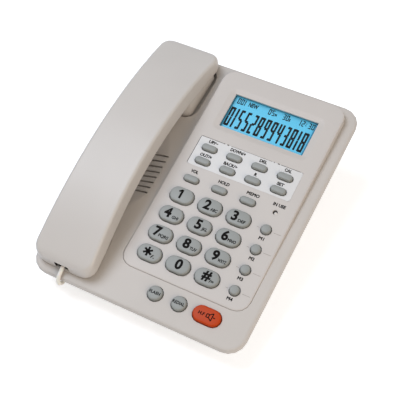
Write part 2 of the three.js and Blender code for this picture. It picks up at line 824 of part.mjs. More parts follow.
function makeLowerShell() {
  const tubRim = skirtOutline(0).map((point) => deckPoint(point.x, point.y, tubTop));
  const tub = solid(loft([at(groundOutline(0), footHeight), tubRim]));
  const lip = solid(prism(rimOutline(seamLip), lipTop - lipThickness, lipTop), deckMatrix);
  const wellRelief = cups.map((cup) => solid(prism(wellOutline(cup, shellWall + clearance),
    wellFloor - shellWall - clearance, 0), deckMatrix));
  const posts = screwPosts.map((post) => (
    solid(prism(circle(screwPostRadius, post.x, post.y, 12), footHeight, post.top))));
  const screwHoles = screwPosts.flatMap((post) => [
    solid(prism(circle(screwHeadRadius, post.x, post.y, 12), 0, footHeight + screwHeadDepth)),
    solid(prism(circle(screwRadius, post.x, post.y, 8), 0, post.top + 1)),
  ]);
  const bayY = doorY - shellWall / 2;
  const bayOutline = (inset) => rectangle(doorWidth - 2 * inset, doorLength - shellWall - 2 * inset,
    doorX, bayY);
  const bay = prism(bayOutline(0), footHeight, bayTop + bayWall);
  const bayHollow = prism(bayOutline(bayWall), 0, bayTop);
  const doorRecess = prism(rectangle(doorWidth + 2 * clearance, doorLength + clearance + 1,
    doorX, doorY + (1 - clearance) / 2), 0, footHeight + doorThickness + clearance);
  const recesses = feet.map((foot) => solid(
    prism(circle(footRadius + clearance, foot.x, foot.y, 20), 0, footHeight + footRecess)));
  const jackZ = jackMiddle + (jackLow + jackHigh) / 2;
  const rearHoles = [
    rearHole(lineJackWidth + 2 * clearance, jackHeight + 2 * clearance, lineJackX, jackZ),
    rearHole(handsetJackWidth + 2 * clearance, jackHeight + 2 * clearance, handsetJackX, jackZ),
    rearHole(ringerKnobWidth + ringerTravel + 2 * clearance, ringerKnobHeight + 2 * clearance,
      ringerX + ringerTravel / 2, ringerZ),
  ].map((hole) => solid(hole));
  const body = join(cut(join(tub, lip), baseRoom(shellWall), ...wellRelief), ...posts, solid(bay));
  return cut(body, solid(bayHollow), solid(doorRecess), ...screwHoles, ...recesses, ...rearHoles);
}

function makeFoot(foot) {
  const top = footHeight + footRecess - clearance;
  return loft([
    at(circle(footRadius - 0.8, foot.x, foot.y, 20), 0),
    at(circle(footRadius, foot.x, foot.y, 20), 0.8),
    at(circle(footRadius, foot.x, foot.y, 20), top),
  ]);
}

function makeBatteryDoor() {
  const plate = solid(prism(rectangle(doorWidth, doorLength, doorX, doorY),
    footHeight, footHeight + doorThickness));
  const grips = [0, 1, 2].map((i) => solid(prism(
    stadium(18, 1.2, doorX, groundBack - 6 - 3 * i, 8), 0, footHeight + 0.6)));
  return cut(plate, ...grips);
}

// ---------------------------------------------------------------- sockets and plugs

// A socket block whose mouth faces -Y at y = 0, about the axis of the plug that it takes. The
// latch's slot lies under the plug.
function makeSocket(width, plug) {
  const block = new THREE.BoxGeometry(width, jackDepth, jackHeight)
    .translate(0, jackDepth / 2, (jackLow + jackHigh) / 2);
  const depth = 2 * (plugInsertion + clearance);
  const mouth = new THREE.BoxGeometry(plug + 2 * clearance, depth, plugHeight + 2 * clearance);
  const latchSlot = new THREE.BoxGeometry(latchWidth + 2 * clearance, depth, 2 * latchRoom)
    .translate(0, 0, -plugHeight / 2 - clearance);
  return cut(solid(block), solid(mouth), solid(latchSlot));
}

// Turns an outline drawn along Y and Z, extruded from 0, into a solid centred on X = 0.
function alongX(outline, width) {
  const sideways = new THREE.Matrix4().makeBasis(
    new THREE.Vector3(0, 1, 0), new THREE.Vector3(0, 0, 1), new THREE.Vector3(1, 0, 0));
  return prism(outline, -width / 2, width / 2).applyMatrix4(sideways);
}

// A plug pushed into such a socket, its cord leaving towards -Y, with the latch under it.
function makePlug() {
  const half = plugHeight / 2;
  const side = [
    [-plugGrip, -0.8 * half], [plugInsertion, -half], [plugInsertion, half], [-1, half],
    [-plugGrip, 0.8 * half],
  ];
  const latch = [
    [-2, -half - latchRoom + 0.4], [plugInsertion - 1.5, -half - 0.9], [plugInsertion - 1.5, -half + 0.3],
    [plugInsertion - 2.5, -half + 0.3], [plugInsertion - 3, -half - 0.5], [-2, -half - latchRoom + 1.2],
  ];
  const points = (list) => list.map(([y, z]) => new THREE.Vector2(y, z));
  return join(solid(alongX(points(side), plugWidth)), solid(alongX(points(latch), latchWidth)));
}

// ---------------------------------------------------------------- ringer switch

function makeRingerSwitch() {
  const carrierFace = groundBack - shellWall - clearance;
  const knob = new THREE.BoxGeometry(ringerKnobWidth, 6, ringerKnobHeight)
    .translate(ringerX, carrierFace + 1.2, ringerZ);
  const carrier = new THREE.BoxGeometry(ringerKnobWidth + ringerTravel + 3, 1.6, ringerKnobHeight + 4)
    .translate(ringerX, carrierFace - 0.8, ringerZ);
  return join(solid(knob), solid(carrier));
}

// ---------------------------------------------------------------- handset pieces

const cupFloor = handsetWall - cupDrop + clearance;
const socketY = mouthCupStart + handsetWall + clearance;
const socketZ = cupFloor - jackLow;

// The notch in the near end, open downwards, that the cord leaves through.
function makeNotch() {
  const top = socketZ + jackHigh - jackWall;
  return new THREE.BoxGeometry(notchWidth, 2 * socketY, 2 * top);
}

const earpieceY = earCupStart + earCupLength / 2;
const microphoneX = -mouthCupWidth / 2 + handsetWall + microphoneRadius + 1;
const microphoneY = mouthCupStart + mouthCupLength / 2;

function soundHoles(x, y, rings) {
  const holes = [[0, 0]];
  rings.forEach((radius) => {
    for (let i = 0; i < 6; i++) {
      holes.push([radius * Math.cos(i * Math.PI / 3), radius * Math.sin(i * Math.PI / 3)]);
    }
  });
  return holes.map(([dx, dy]) => solid(
    prism(circle(soundHoleRadius, x + dx, y + dy, 8), -cupDrop - 1, -cupDrop + 2 * handsetWall)));
}

function makeHandsetShells() {
  const shell = cut(handsetBody(0), handsetBody(handsetWall), solid(makeNotch()));
  const outer = shell.intersect(abovePartingLine(clearance / 2));
  const inner = cut(shell, abovePartingLine(-clearance / 2),
    ...soundHoles(0, earpieceY, [5.5, 11]), ...soundHoles(microphoneX, microphoneY, []));
  return { outer, inner };
}

// A round capsule standing on the floor of a cup.
function capsule(radius, height, x, y) {
  return lathe([[0, cupFloor], [radius, cupFloor], [radius, cupFloor + height], [0, cupFloor + height]], 20)
    .translate(x, y, 0);
}

// ---------------------------------------------------------------- handset cord

// The lead from the handset's plug over the deck's front edge and round under the rim, and the
// curly stretch along the left side to the plug at the back.
const leadPoints = [
  [-60, -101.75, 30.3], [-60, -103.75, 29.5], [-60, -105.65, 27.7], [-60, -108.75, 26.2],
  [-60, -110.75, 23.3], [-60, -111.05, 19.8], [-60, -109.45, 16.6], [-60, -106.55, 14.6],
  [-60, -103.05, 14.4], [-60.9, -99.65, 15], [-63.4, -97.25, 15.5], [-66.8, -96.35, 15.7],
  [-77, -94.05, 13.9], [-85.3, -87.75, 10], [-89.5, -80.45, 7.2], [-91, -72.15, 6],
  [-91, -68.15, 6],
];
const curlyPoints = [
  [-91, -67.85, 6], [-91, -50, 6], [-91, -10, 6], [-91, 30, 6],
  [-91, 70, 6], [-91, 116, 6], [-88.1, 126.8, 6], [-80.2, 134.6, 6.5],
  [-69.5, 137.5, 8], [-58.8, 134.6, 9.7], [-50.9, 126.8, 11], [-48, 116, 11.5],
  [-48, 105.45, 11.5],
];
const leadSteps = 28;
const curlySteps = 38;

// A tube along a smooth path through the given points.
function tube(points, diameter, sides, steps) {
  const path = new THREE.CatmullRomCurve3(points.map((point) => new THREE.Vector3(...point)));
  const section = new THREE.Shape(circle(diameter / 2, 0, 0, sides));
  return new THREE.ExtrudeGeometry(section, { steps, extrudePath: path, bevelEnabled: false });
}

// ---------------------------------------------------------------- assembly

piece(deck, 'upper_shell', geometryOf(makeUpperShell()), shellPlastic);
piece(deck, 'faceplate', geometryOf(makeFaceplate()), shellPlastic);
piece(deck, 'main_board', geometryOf(makeBoard()), boardGreen);
piece(deck, 'keypad_mat', geometryOf(makeMat()), siliconeRubber);
piece(deck, 'hook_plunger', geometryOf(makePlunger()), shellPlastic);
piece(deck, 'hook_switch', geometryOf(makeHookSwitch()), darkPlastic);
piece(deck, 'loudspeaker', makeLoudspeaker().translate(scoopX, scoopY, 0), darkPlastic);
frontKeys().forEach((key) => {
  piece(deck, key.name, makeKey(key, shellWall), key.name === 'key_speaker' ? orangePlastic : keyPlastic);
});

piece(panel, 'label_plate', geometryOf(makeLabelPlate()), labelPlastic);
piece(panel, 'display_window',
  prism(displayOutline(displayOverlap), windowTop - windowThickness, windowTop), clearPlastic);
piece(panel, 'display_glass',
  prism(displayOutline(displayOverlap + 1), glassTop - glassThickness, glassTop), displayBlue);
piece(panel, 'backlight', prism(displayOutline(displayOverlap + 1), lightBottom, lightTop), labelPlastic);
piece(panel, 'in_use_lamp', makeLamp().translate(memoryX, lineRow, 0), lampPlastic);
panelKeys().forEach((key) => piece(panel, key.name, makeKey(key, plateThickness), keyPlastic));

piece(phone, 'lower_shell', geometryOf(makeLowerShell()), shellPlastic);
feet.forEach((foot, i) => piece(phone, `foot_${i + 1}`, makeFoot(foot), footRubber));
piece(phone, 'battery_door', geometryOf(makeBatteryDoor()), shellPlastic);
piece(phone, 'ringer_switch', geometryOf(makeRingerSwitch()), darkPlastic);

const facingBack = Math.PI;
[
  ['line_jack', lineJackX, lineJackWidth, linePlugWidth],
  ['handset_jack', handsetJackX, handsetJackWidth, plugWidth],
].forEach(([name, x, width, plug]) => {
  const jack = piece(phone, name, geometryOf(makeSocket(width, plug)), darkPlastic);
  jack.position.set(x, groundBack, jackMiddle);
  jack.rotation.z = facingBack;
});
const basePlug = piece(phone, 'base_plug', geometryOf(makePlug()), clearPlastic);
basePlug.position.set(handsetJackX, groundBack, jackMiddle);
basePlug.rotation.z = facingBack;

const shells = makeHandsetShells();
piece(handset, 'handset_outer_shell', geometryOf(shells.outer), handsetPlastic);
piece(handset, 'handset_inner_shell', geometryOf(shells.inner), handsetPlastic);
piece(handset, 'earpiece', capsule(earpieceRadius, earpieceHeight, 0, earpieceY), darkPlastic);
piece(handset, 'microphone',
  capsule(microphoneRadius, microphoneHeight, microphoneX, microphoneY), darkPlastic);
const handsetSocket = piece(handset, 'handset_socket', geometryOf(makeSocket(handsetJackWidth, plugWidth)),
  darkPlastic);
handsetSocket.position.set(0, socketY, socketZ);
const handsetPlug = piece(handset, 'handset_plug', geometryOf(makePlug()), clearPlastic);
handsetPlug.position.set(0, socketY, socketZ);

// The telephone stands centred on the origin, whatever its cord does.
const footprint = new THREE.Box3().setFromObject(phone, true);
phone.position.x = -(footprint.min.x + footprint.max.x) / 2;
phone.position.y = -(footprint.min.y + footprint.max.y) / 2;

const telephone = new THREE.Group();
telephone.add(phone);
piece(telephone, 'handset_cord', tube(leadPoints, cordDiameter, 8, leadSteps), cordPlastic);
piece(telephone, 'curly_cord', tube(curlyPoints, curlyDiameter, 10, curlySteps), cordPlastic);

export default telephone;
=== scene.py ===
"""Finishes, lettering, curly cord and studio for a corded desk telephone with a caller display."""
import json
from math import cos, pi, radians, sin, sqrt

import bmesh
import bpy
from bpy.props import FloatProperty, FloatVectorProperty, IntProperty, PointerProperty
from mathutils import Matrix, Vector


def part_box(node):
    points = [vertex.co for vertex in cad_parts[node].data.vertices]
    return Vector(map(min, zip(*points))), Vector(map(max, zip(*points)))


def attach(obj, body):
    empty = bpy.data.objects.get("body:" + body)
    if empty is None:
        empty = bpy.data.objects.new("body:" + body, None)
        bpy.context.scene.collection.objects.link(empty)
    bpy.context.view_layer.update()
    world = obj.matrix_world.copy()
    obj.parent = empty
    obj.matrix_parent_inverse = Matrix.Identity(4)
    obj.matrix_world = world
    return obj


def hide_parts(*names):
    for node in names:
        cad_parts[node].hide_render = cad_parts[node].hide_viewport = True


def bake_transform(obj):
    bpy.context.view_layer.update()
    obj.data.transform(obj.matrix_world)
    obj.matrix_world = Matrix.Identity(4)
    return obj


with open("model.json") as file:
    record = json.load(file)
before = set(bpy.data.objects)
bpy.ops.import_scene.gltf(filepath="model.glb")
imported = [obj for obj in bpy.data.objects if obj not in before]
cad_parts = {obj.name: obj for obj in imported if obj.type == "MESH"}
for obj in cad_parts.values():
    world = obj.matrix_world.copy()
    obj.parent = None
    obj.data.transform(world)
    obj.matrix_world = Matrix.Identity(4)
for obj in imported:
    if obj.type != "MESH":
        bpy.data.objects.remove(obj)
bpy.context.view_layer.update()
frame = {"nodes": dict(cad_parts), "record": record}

bl_info = {
    "name": "Desk Telephone",
    "version": (1, 0, 0),
    "blender": (4, 5, 0),
    "location": "View3D > Sidebar > Telephone",
    "description": "Dresses a corded desk telephone with its mouldings, keys, display and cord",
    "category": "Object",
}

MM = 0.001
BODY_OF = {node: body for body, nodes in frame["record"]["behaviour"]["bodies"].items()
           for node in nodes}

# Tilts of the two sloping surfaces. A shape drawn on one is drawn level, then turned by its tilt.
PANEL_TILT = radians(13)
DECK = Matrix.Rotation(radians(11), 4, "X")
PANEL = Matrix.Rotation(PANEL_TILT, 4, "X")
LEVEL = Matrix.Identity(4)

FUNCTION_KEYS = ("up", "down", "delete", "call", "out", "back", "answer", "set", "volume", "hold",
                 "memo")
MEMORY_KEYS = ("m1", "m2", "m3", "m4")
FRONT_KEYS = ("flash", "redial", "speaker")

# Each dial key's face: the digit and its shift from the key's middle, then the small letters,
# their shift and their width.
DIAL_FACES = {
    "1": ("1", -1.3, "", 0, 0), "2": ("2", -1.9, "ABC", 4.6, 5.7),
    "3": ("3", -2.8, "DEF", 3.8, 6.0), "4": ("4", -2.5, "GHI", 4.5, 5.2),
    "5": ("5", -0.7, "JKL", 5.3, 4.7), "6": ("6", -2.2, "MNO", 4.2, 6.7),
    "7": ("7", -2.4, "PQRS", 3.6, 8.2), "8": ("8", -1.5, "TUV", 4.9, 5.8),
    "9": ("9", -1.6, "WXYZ", 4.8, 6.9), "star": ("*", -1.3, "/.", 3.9, 3.4),
    "0": ("0", 0.8, "", 0, 0), "hash": ("#", -0.2, "/=", 4.8, 3.6),
}
# Words printed beside the keys: the key, the word, its shift from the key's middle to the right
# and up the panel, and the width that it is spread over.
PRINTED_WORDS = (
    ("key_up", "UP/−", 0.5, 6.1, 7.7), ("key_down", "DOWN/+", 0.4, 6.1, 13.0),
    ("key_delete", "DEL", 0.5, 6.1, 6.2), ("key_call", "CAL", -0.1, 6.2, 5.8),
    ("key_out", "OUT/×", 0.2, 5.6, 10.0), ("key_back", "BACK/÷", 0, 5.6, 11.5),
    ("key_answer", "R", 0, 5.7, 2.3), ("key_set", "SET", -0.7, 5.6, 5.8),
    ("key_volume", "VOL", -0.9, 7.2, 6.4), ("key_hold", "HOLD", 0.5, 7.0, 9.3),
    ("key_memo", "MEMO", 1.2, 7.0, 10.4), ("in_use_lamp", "IN USE", 0.6, 6.4, 10.0),
    ("key_m1", "M1", -0.2, -7.6, 4.2), ("key_m2", "M2", 0.3, -7.5, 4.4),
    ("key_m3", "M3", -0.5, -7.5, 4.4), ("key_m4", "M4", -0.6, -6.9, 4.6),
)
# The display's top line: the digits and their middle, then the small words with their shift to the
# right and up, their width and their height.
DISPLAY_NUMBERS = (("001", -29.2), ("05", -3.1), ("30", 9.3), ("12", 23.2), ("30", 31.1))
DISPLAY_WORDS = (
    ("NEW", -19.0, 0, 8.2, 3.9), ("M", 0.9, -1.1, 1.7, 2.2), ("S", 12.8, -1.1, 1.3, 2.4),
)

# The seven bars of a display digit, from the top one clockwise and the middle one last.
LIT_BARS = {
    "0": "abcdef", "1": "bc", "2": "abged", "3": "abgcd", "4": "fgbc", "5": "afgcd",
    "6": "afgcde", "7": "abc", "8": "abcdefg", "9": "abfgcd",
}

# Route of the handset cord in millimetres: out of the handset, over the front edge and back under
# the rim, then along the left side in its curls, and round into the socket at the back.
LEAD_ROUTE = (
    (-60, -101.75, 30.3), (-60, -103.75, 29.5), (-60, -105.65, 27.7), (-60, -108.75, 26.2),
    (-60, -110.75, 23.3), (-60, -111.05, 19.8), (-60, -109.45, 16.6), (-60, -106.55, 14.6),
    (-60, -103.05, 14.4), (-60.9, -99.65, 15), (-63.4, -97.25, 15.5), (-66.8, -96.35, 15.7),
    (-77, -94.05, 13.9), (-85.3, -87.75, 10), (-89.5, -80.45, 7.2), (-91, -72.15, 6),
    (-91, -68.15, 6),
)
CURLY_ROUTE = (
    (-91, -67.85, 6), (-91, -50, 6), (-91, -10, 6), (-91, 30, 6),
    (-91, 70, 6), (-91, 116, 6), (-88.1, 126.8, 6), (-80.2, 134.6, 6.5),
    (-69.5, 137.5, 8), (-58.8, 134.6, 9.7), (-50.9, 126.8, 11), (-48, 116, 11.5),
    (-48, 105.45, 11.5),
)


def linear(code):
    """A colour written as sRGB hex, as the linear red, green, blue and alpha of a shader."""
    parts = [int(code[i:i + 2], 16) / 255 for i in (1, 3, 5)]
    return tuple(c / 12.92 if c <= 0.04045 else ((c + 0.055) / 1.055) ** 2.4 for c in parts) + (1,)


def length_property(name, description, millimetres):
    return FloatProperty(name=name, description=description, default=millimetres * MM,
                         min=0, unit="LENGTH", subtype="DISTANCE", precision=5)


def colour_property(name, description, code):
    return FloatVectorProperty(name=name, description=description, default=linear(code),
                               size=4, min=0, max=1, subtype="COLOR")


def angle_property(name, description, degrees):
    return FloatProperty(name=name, description=description, default=radians(degrees),
                         subtype="ANGLE")


def number_property(name, description, value):
    return FloatProperty(name=name, description=description, default=value, min=0)


class TelephoneSizes(bpy.types.PropertyGroup):
    key_edge: length_property("Key edge", "Radius of the soft edge round a key's top", 1.1)
    key_flange: length_property("Key flange", "How far a key's hidden flange stands out", 0.9)
    key_gap: length_property("Key gap", "Room between a cap and the key's own size", 0.3)
    digit_height: length_property("Digit height", "Height of the digits on the dial keys", 7.8)
    letter_height: length_property("Letter height", "Height of the small letters on them", 2.5)
    word_height: length_property("Word height", "Height of the words beside the keys", 2.6)
    ink: length_property("Ink", "How far the print stands off its surface", 0.04)
    display_digit: length_property("Display digit", "Height of the display's large digits", 18)
    display_small: length_property("Display small digit", "Height of its small digits", 5.2)
    cord_diameter: length_property("Cord diameter", "Diameter of the handset cord", 3.3)
    curl_radius: length_property("Curl radius", "Radius of the curls, to the cord's middle", 4.1)
    curl_pitch: length_property("Curl pitch", "From one curl to the next", 4.15)
    curl_points: IntProperty(name="Points in a curl", description="Points in each turn",
                             default=14, min=12)


class TelephoneColours(bpy.types.PropertyGroup):
    base: colour_property("Base", "Warm grey of the base mouldings", "#ccc7c3")
    faceplate: colour_property("Faceplate", "The same plastic, a little lighter", "#cec9c6")
    handset: colour_property("Handset", "Warm grey of the handset", "#d2cecb")
    keys: colour_property("Keys", "Grey of the keys", "#989c9b")
    hands_free: colour_property("Hands-free key", "Orange of the hands-free key", "#c24207")
    label: colour_property("Label strip", "White of the label strip", "#dcdcdd")
    ink: colour_property("Ink", "Ink of the digits and words", "#121010")
    fine_ink: colour_property("Fine ink", "Ink of the small words", "#181514")
    display: colour_property("Display", "Lit blue of the display", "#54c2ea")
    display_bars: colour_property("Display bars", "Dark bars of the display", "#020508")
    cord: colour_property("Cord", "White of the handset cord", "#f6f3ec")
    floor: colour_property("Floor", "Studio floor", "#eef1f6")


class TelephoneStudio(bpy.types.PropertyGroup):
    azimuth: angle_property("Azimuth", "Camera's turn to the right of the front", 30.228)
    elevation: angle_property("Elevation", "Camera's height as an angle", 51.193)
    roll: angle_property("Roll", "Camera's lean to its left", -2.656)
    distance: length_property("Distance", "From the camera to the telephone", 759.06)
    lens: number_property("Lens", "Focal length in millimetres", 87.95)
    key_power: number_property("Key light", "Watts of the large soft light", 9.5)
    fill_power: number_property("Fill light", "Watts of the light opposite", 5.0)
    ambient: number_property("Ambient", "Strength of the light all round", 0.41)


# ---------------------------------------------------------------- modelling helpers

def put(name, data):
    """A new object in the scene."""
    item = bpy.data.objects.new(name, data)
    bpy.context.scene.collection.objects.link(item)
    return item


def paint(material, *nodes):
    """Gives CAD nodes that are shown as they are their material."""
    for node in nodes:
        frame["nodes"][node].data.materials[0] = material


def mesh_from(curve):
    """The mesh of a line or a text, which is removed."""
    holder = put(curve.name, curve)
    seen = holder.evaluated_get(bpy.context.evaluated_depsgraph_get())
    mesh = bpy.data.meshes.new_from_object(seen)
    bpy.data.objects.remove(holder)
    bpy.data.curves.remove(curve)
    return mesh


def extent(node, tilt):
    """Lowest and highest corners of a CAD node and its middle, along a sloping surface."""
    back = tilt.inverted()
    points = [back @ vertex.co for vertex in frame["nodes"][node].data.vertices]
    low, high = (Vector([pick(p[i] for p in points) for i in range(3)]) for pick in (min, max))
    return low, high, (low + high) / 2


def finish_piece(bm, name, material, body, tilt=LEVEL, replaced=(), sharp=40):
    """Makes the piece's object: smooth faces, edges sharper than an angle kept crisp."""
    bmesh.ops.transform(bm, matrix=tilt, verts=bm.verts)
    for face in bm.faces:
        face.smooth = True
    for edge in bm.edges:
        edge.smooth = edge.calc_face_angle(0) < radians(sharp)
    mesh = bpy.data.meshes.new(name)
    bm.to_mesh(mesh)
    bm.free()
    mesh.materials.append(material)
    piece = put(name, mesh)
    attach(piece, body)
    if replaced:
        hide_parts(*replaced)
    return piece


def smooth_copy(node, name, material, spreads=(), reshape=None):
    """A CAD solid with its points joined, so that its rounded edges shade as one surface."""
    bm = bmesh.new()
    bm.from_mesh(frame["nodes"][node].data)
    bmesh.ops.remove_doubles(bm, verts=bm.verts, dist=1e-6)
    if reshape:
        reshape(bm)
    bmesh.ops.dissolve_limit(bm, angle_limit=radians(0.3), verts=bm.verts, edges=bm.edges)
    for spread in spreads:
        spread_outline(bm, *spread)
    piece = finish_piece(bm, name, material, BODY_OF[node], replaced=(node,))
    even = piece.modifiers.new("flat_faces_stay_flat", "WEIGHTED_NORMAL")
    even.keep_sharp = True
    return piece


def spread_outline(bm, tilt, low, high, radius, reach, amount):
    """Moves the points along a rounded rectangle outwards, to set the gap that shows there."""
    back = tilt.inverted()
    for vert in bm.verts:
        place = back @ vert.co
        core = Vector((min(max(place.x, low.x + radius), high.x - radius),
                       min(max(place.y, low.y + radius), high.y - radius), place.z))
        out = place - core
        if abs(out.length - radius) < reach and place.x > low.x - radius:
            vert.co = tilt @ (place + amount * out.normalized())


def tighten_edges(bm, tilt, middle, wide, tight, fade):
    """Draws the two long round edges of an upturned tray tighter, but less so near its ends."""
    back = tilt.inverted()
    rings = {}
    for vert in bm.verts:
        place = back @ vert.co
        rings.setdefault(round(place.y / (0.01 * MM)), []).append((vert, place))
    ends = [pick(place.y for ring in rings.values() for _, place in ring) for pick in (min, max)]
    for ring in rings.values():
        from_end = min(abs(ring[0][1].y - end) for end in ends)
        radius = tight + 0.6 * (wide - tight) * max(0, 1 - from_end / fade)
        top = max(place.z for _, place in ring)
        half = max(abs(place.x - middle) for _, place in ring)
        for vert, place in ring:
            side = 1 if place.x > middle else -1
            out = (abs(place.x - middle) - half) / wide + 1
            up = (place.z - top) / wide + 1
            if min(out, up) > -0.01 and abs(sqrt(out * out + up * up) - 1) < 0.01:
                vert.co = tilt @ Vector((middle + side * (half + (out - 1) * radius), place.y,
                                         top + (up - 1) * radius))


def paint_notch_shade(piece, tilt, low, high, material):
    """Gives the side and top walls of a notch, inside a box, another material, which paints shade
    into the recess.
    """
    back = tilt.inverted()
    piece.data.materials.append(material)
    for face in piece.data.polygons:
        place = back @ face.center
        turned = back.to_3x3() @ face.normal
        inside = all(low[i] < place[i] < high[i] for i in range(3))
        if inside and (abs(turned.x) > 0.9 or turned.z < -0.9):
            face.material_index = 1


def raise_face(bm, face, height):
    """Extrudes one face upwards and returns the new top face."""
    new = bmesh.ops.extrude_face_region(bm, geom=[face])["geom"]
    verts = [item for item in new if isinstance(item, bmesh.types.BMVert)]
    bmesh.ops.translate(bm, vec=(0, 0, height), verts=verts)
    bmesh.ops.delete(bm, geom=[face], context="FACES_ONLY")
    return next(item for item in new if isinstance(item, bmesh.types.BMFace))


def bevel_rim(bm, face, radius, segments=4):
    bmesh.ops.bevel(bm, geom=list(face.edges), offset=radius, offset_type="OFFSET",
                    affect="EDGES", segments=segments, profile=0.5, material=-1,
                    clamp_overlap=True)


def stadium_face(bm, low, high, height, segments=40):
    """A flat face with round ends that fills a rectangle, seen from above."""
    radius = (high.y - low.y) / 2
    shift = (high.x - low.x) / 2 - radius
    middle = (low + high) / 2
    half_step = Matrix.Rotation(pi / segments, 4, "Z")
    made = bmesh.ops.create_circle(bm, cap_ends=True, segments=segments, radius=radius,
                                   matrix=half_step)
    for vert in made["verts"]:
        vert.co.x += shift if vert.co.x > 0 else -shift
        vert.co += Vector((middle.x, middle.y, height))
    face = made["verts"][0].link_faces[0]
    if face.normal.z < 0:
        bmesh.ops.reverse_faces(bm, faces=[face])
    return face


def bar(bm, x, y, level, length, width, degrees=0, corner=0):
    """A flat printed bar about (x, y), turned from the x axis, its corners drawn in."""
    made = bmesh.ops.create_grid(bm, x_segments=1, y_segments=1, size=0.5)
    place = (Matrix.Translation((x, y, level)) @ Matrix.Rotation(radians(degrees), 4, "Z")
             @ Matrix.Diagonal((length, width, 1, 1)))
    bmesh.ops.transform(bm, matrix=place, verts=made["verts"])
    if corner:
        bmesh.ops.bevel(bm, geom=made["verts"], offset=corner, affect="VERTICES", segments=3,
                        profile=0.5, material=-1)


CAP_SHARE = 0.729  # height of a capital in the built-in font, as a share of its size
COPY_SHARE = 0.8  # shift of the copies that make a word heavy, as a share of its bold outline


def add_words(bm, text, height, x, y, level, bold, width=None):
    """Adds flat lettering to a bmesh about (x, y), spread over a width where one is given."""
    curve = bpy.data.curves.new(text, "FONT")
    curve.body = text
    curve.size = height / CAP_SHARE
    # A heavy outline fills the notches of an M, so such a word gets its weight from four copies.
    side = COPY_SHARE * bold if "M" in text else 0
    curve.offset = 0 if side else bold
    curve.resolution_u = 4
    curve.fill_mode = "FRONT"
    mesh = mesh_from(curve)
    lows, highs = ([pick(v.co[i] for v in mesh.vertices) for i in range(2)] for pick in (min, max))
    stretch = (width - 2 * side) / (highs[0] - lows[0]) if width else 1
    mesh.transform(Matrix.Translation((x, y, level)) @ Matrix.Diagonal((stretch, 1, 1, 1))
                   @ Matrix.Translation((-(lows[0] + highs[0]) / 2, -(lows[1] + highs[1]) / 2, 0)))
    for right, up in ((-1, -1), (1, -1), (1, 1), (-1, 1)) if side else ((0, 0),):
        copy = mesh.copy()
        copy.transform(Matrix.Translation((right * side, up * side, 0)))
        bm.from_mesh(copy)
        bpy.data.meshes.remove(copy)
    bpy.data.meshes.remove(mesh)


def smooth_path(points, steps):
    """Points on a centripetal Catmull-Rom curve through the given ones, in metres."""
    points = [Vector(p) * MM for p in points]
    points = [2 * points[0] - points[1]] + points + [2 * points[-1] - points[-2]]
    path = []
    for a, b, c, d in zip(points, points[1:], points[2:], points[3:]):
        t0 = 0
        t1 = t0 + sqrt((b - a).length)
        t2 = t1 + sqrt((c - b).length)
        t3 = t2 + sqrt((d - c).length)
        for i in range(steps):
            t = t1 + (t2 - t1) * i / steps
            ab = a.lerp(b, (t - t0) / (t1 - t0))
            bc = b.lerp(c, (t - t1) / (t2 - t1))
            cd = c.lerp(d, (t - t2) / (t3 - t2))
            abc = ab.lerp(bc, (t - t0) / (t2 - t0))
            bcd = bc.lerp(cd, (t - t1) / (t3 - t1))
            path.append(abc.lerp(bcd, (t - t1) / (t2 - t1)))
    return path + [points[-2]]


def evenly(path, step):
    """Points at even steps along a path, each with the path's direction there."""
    out = []
    walked = 0.0
    wanted = 0.0
    for a, b in zip(path, path[1:]):
        gap = (b - a).length
        while wanted <= walked + gap:
            out.append((a.lerp(b, (wanted - walked) / gap), (b - a).normalized()))
            wanted += step
        walked += gap
    return out, walked


# ---------------------------------------------------------------- material helpers

def add(tree, kind, values=None, links=None):
    """Adds a shader node, sets its sockets or settings, and links other sockets to it."""
    node = tree.nodes.new("ShaderNode" + kind)
    for key, value in (values or {}).items():
        if isinstance(key, int) or key in node.inputs:
            node.inputs[key].default_value = value
        else:
            setattr(node, key, value)
    for key, socket in (links or {}).items():
        tree.links.new(socket, node.inputs[key])
    return node


def new_material(name):
    material = bpy.data.materials.new(name)
    material.use_nodes = True
    tree = material.node_tree
    tree.nodes.clear()
    coordinates = add(tree, "TexCoord")
    mapping = add(tree, "Mapping", None, {"Vector": coordinates.outputs["Object"]})
    return material, tree, mapping.outputs["Vector"]


def show(tree, shader):
    add(tree, "OutputMaterial", None, {"Surface": shader.outputs[0]})


def noise(tree, place, size, detail):
    """Soft noise with features of about a given size."""
    texture = add(tree, "TexNoise", {"Scale": 1 / size, "Detail": detail}, {"Vector": place})
    return texture.outputs["Fac"]


def mapped(tree, value, values):
    """A value mapped from one range to another."""
    return add(tree, "MapRange", values, {"Value": value}).outputs["Result"]


def bumped(tree, height, strength, depth):
    """The direction of a surface that a height raises."""
    bump = add(tree, "Bump", {"Strength": strength, "Distance": depth}, {"Height": height})
    return bump.outputs["Normal"]


def coat(tree, values, links):
    """Shows a principled shader: even values on its sockets, varied ones linked."""
    show(tree, add(tree, "BsdfPrincipled", values, links))


def darker(colour, share):
    return tuple(c * share for c in colour[:3]) + (1,)


def mottled(tree, place, colour, shade, size, share):
    """A colour that drifts a little towards a darker one, in soft patches of a given size."""
    drift = mapped(tree, noise(tree, place, size, 2),
                   {"From Min": 0.3, "From Max": 0.7, "To Max": share})
    mix = add(tree, "Mix", {"data_type": "RGBA", 6: colour, 7: darker(colour, shade)}, {0: drift})
    return mix.outputs[2]


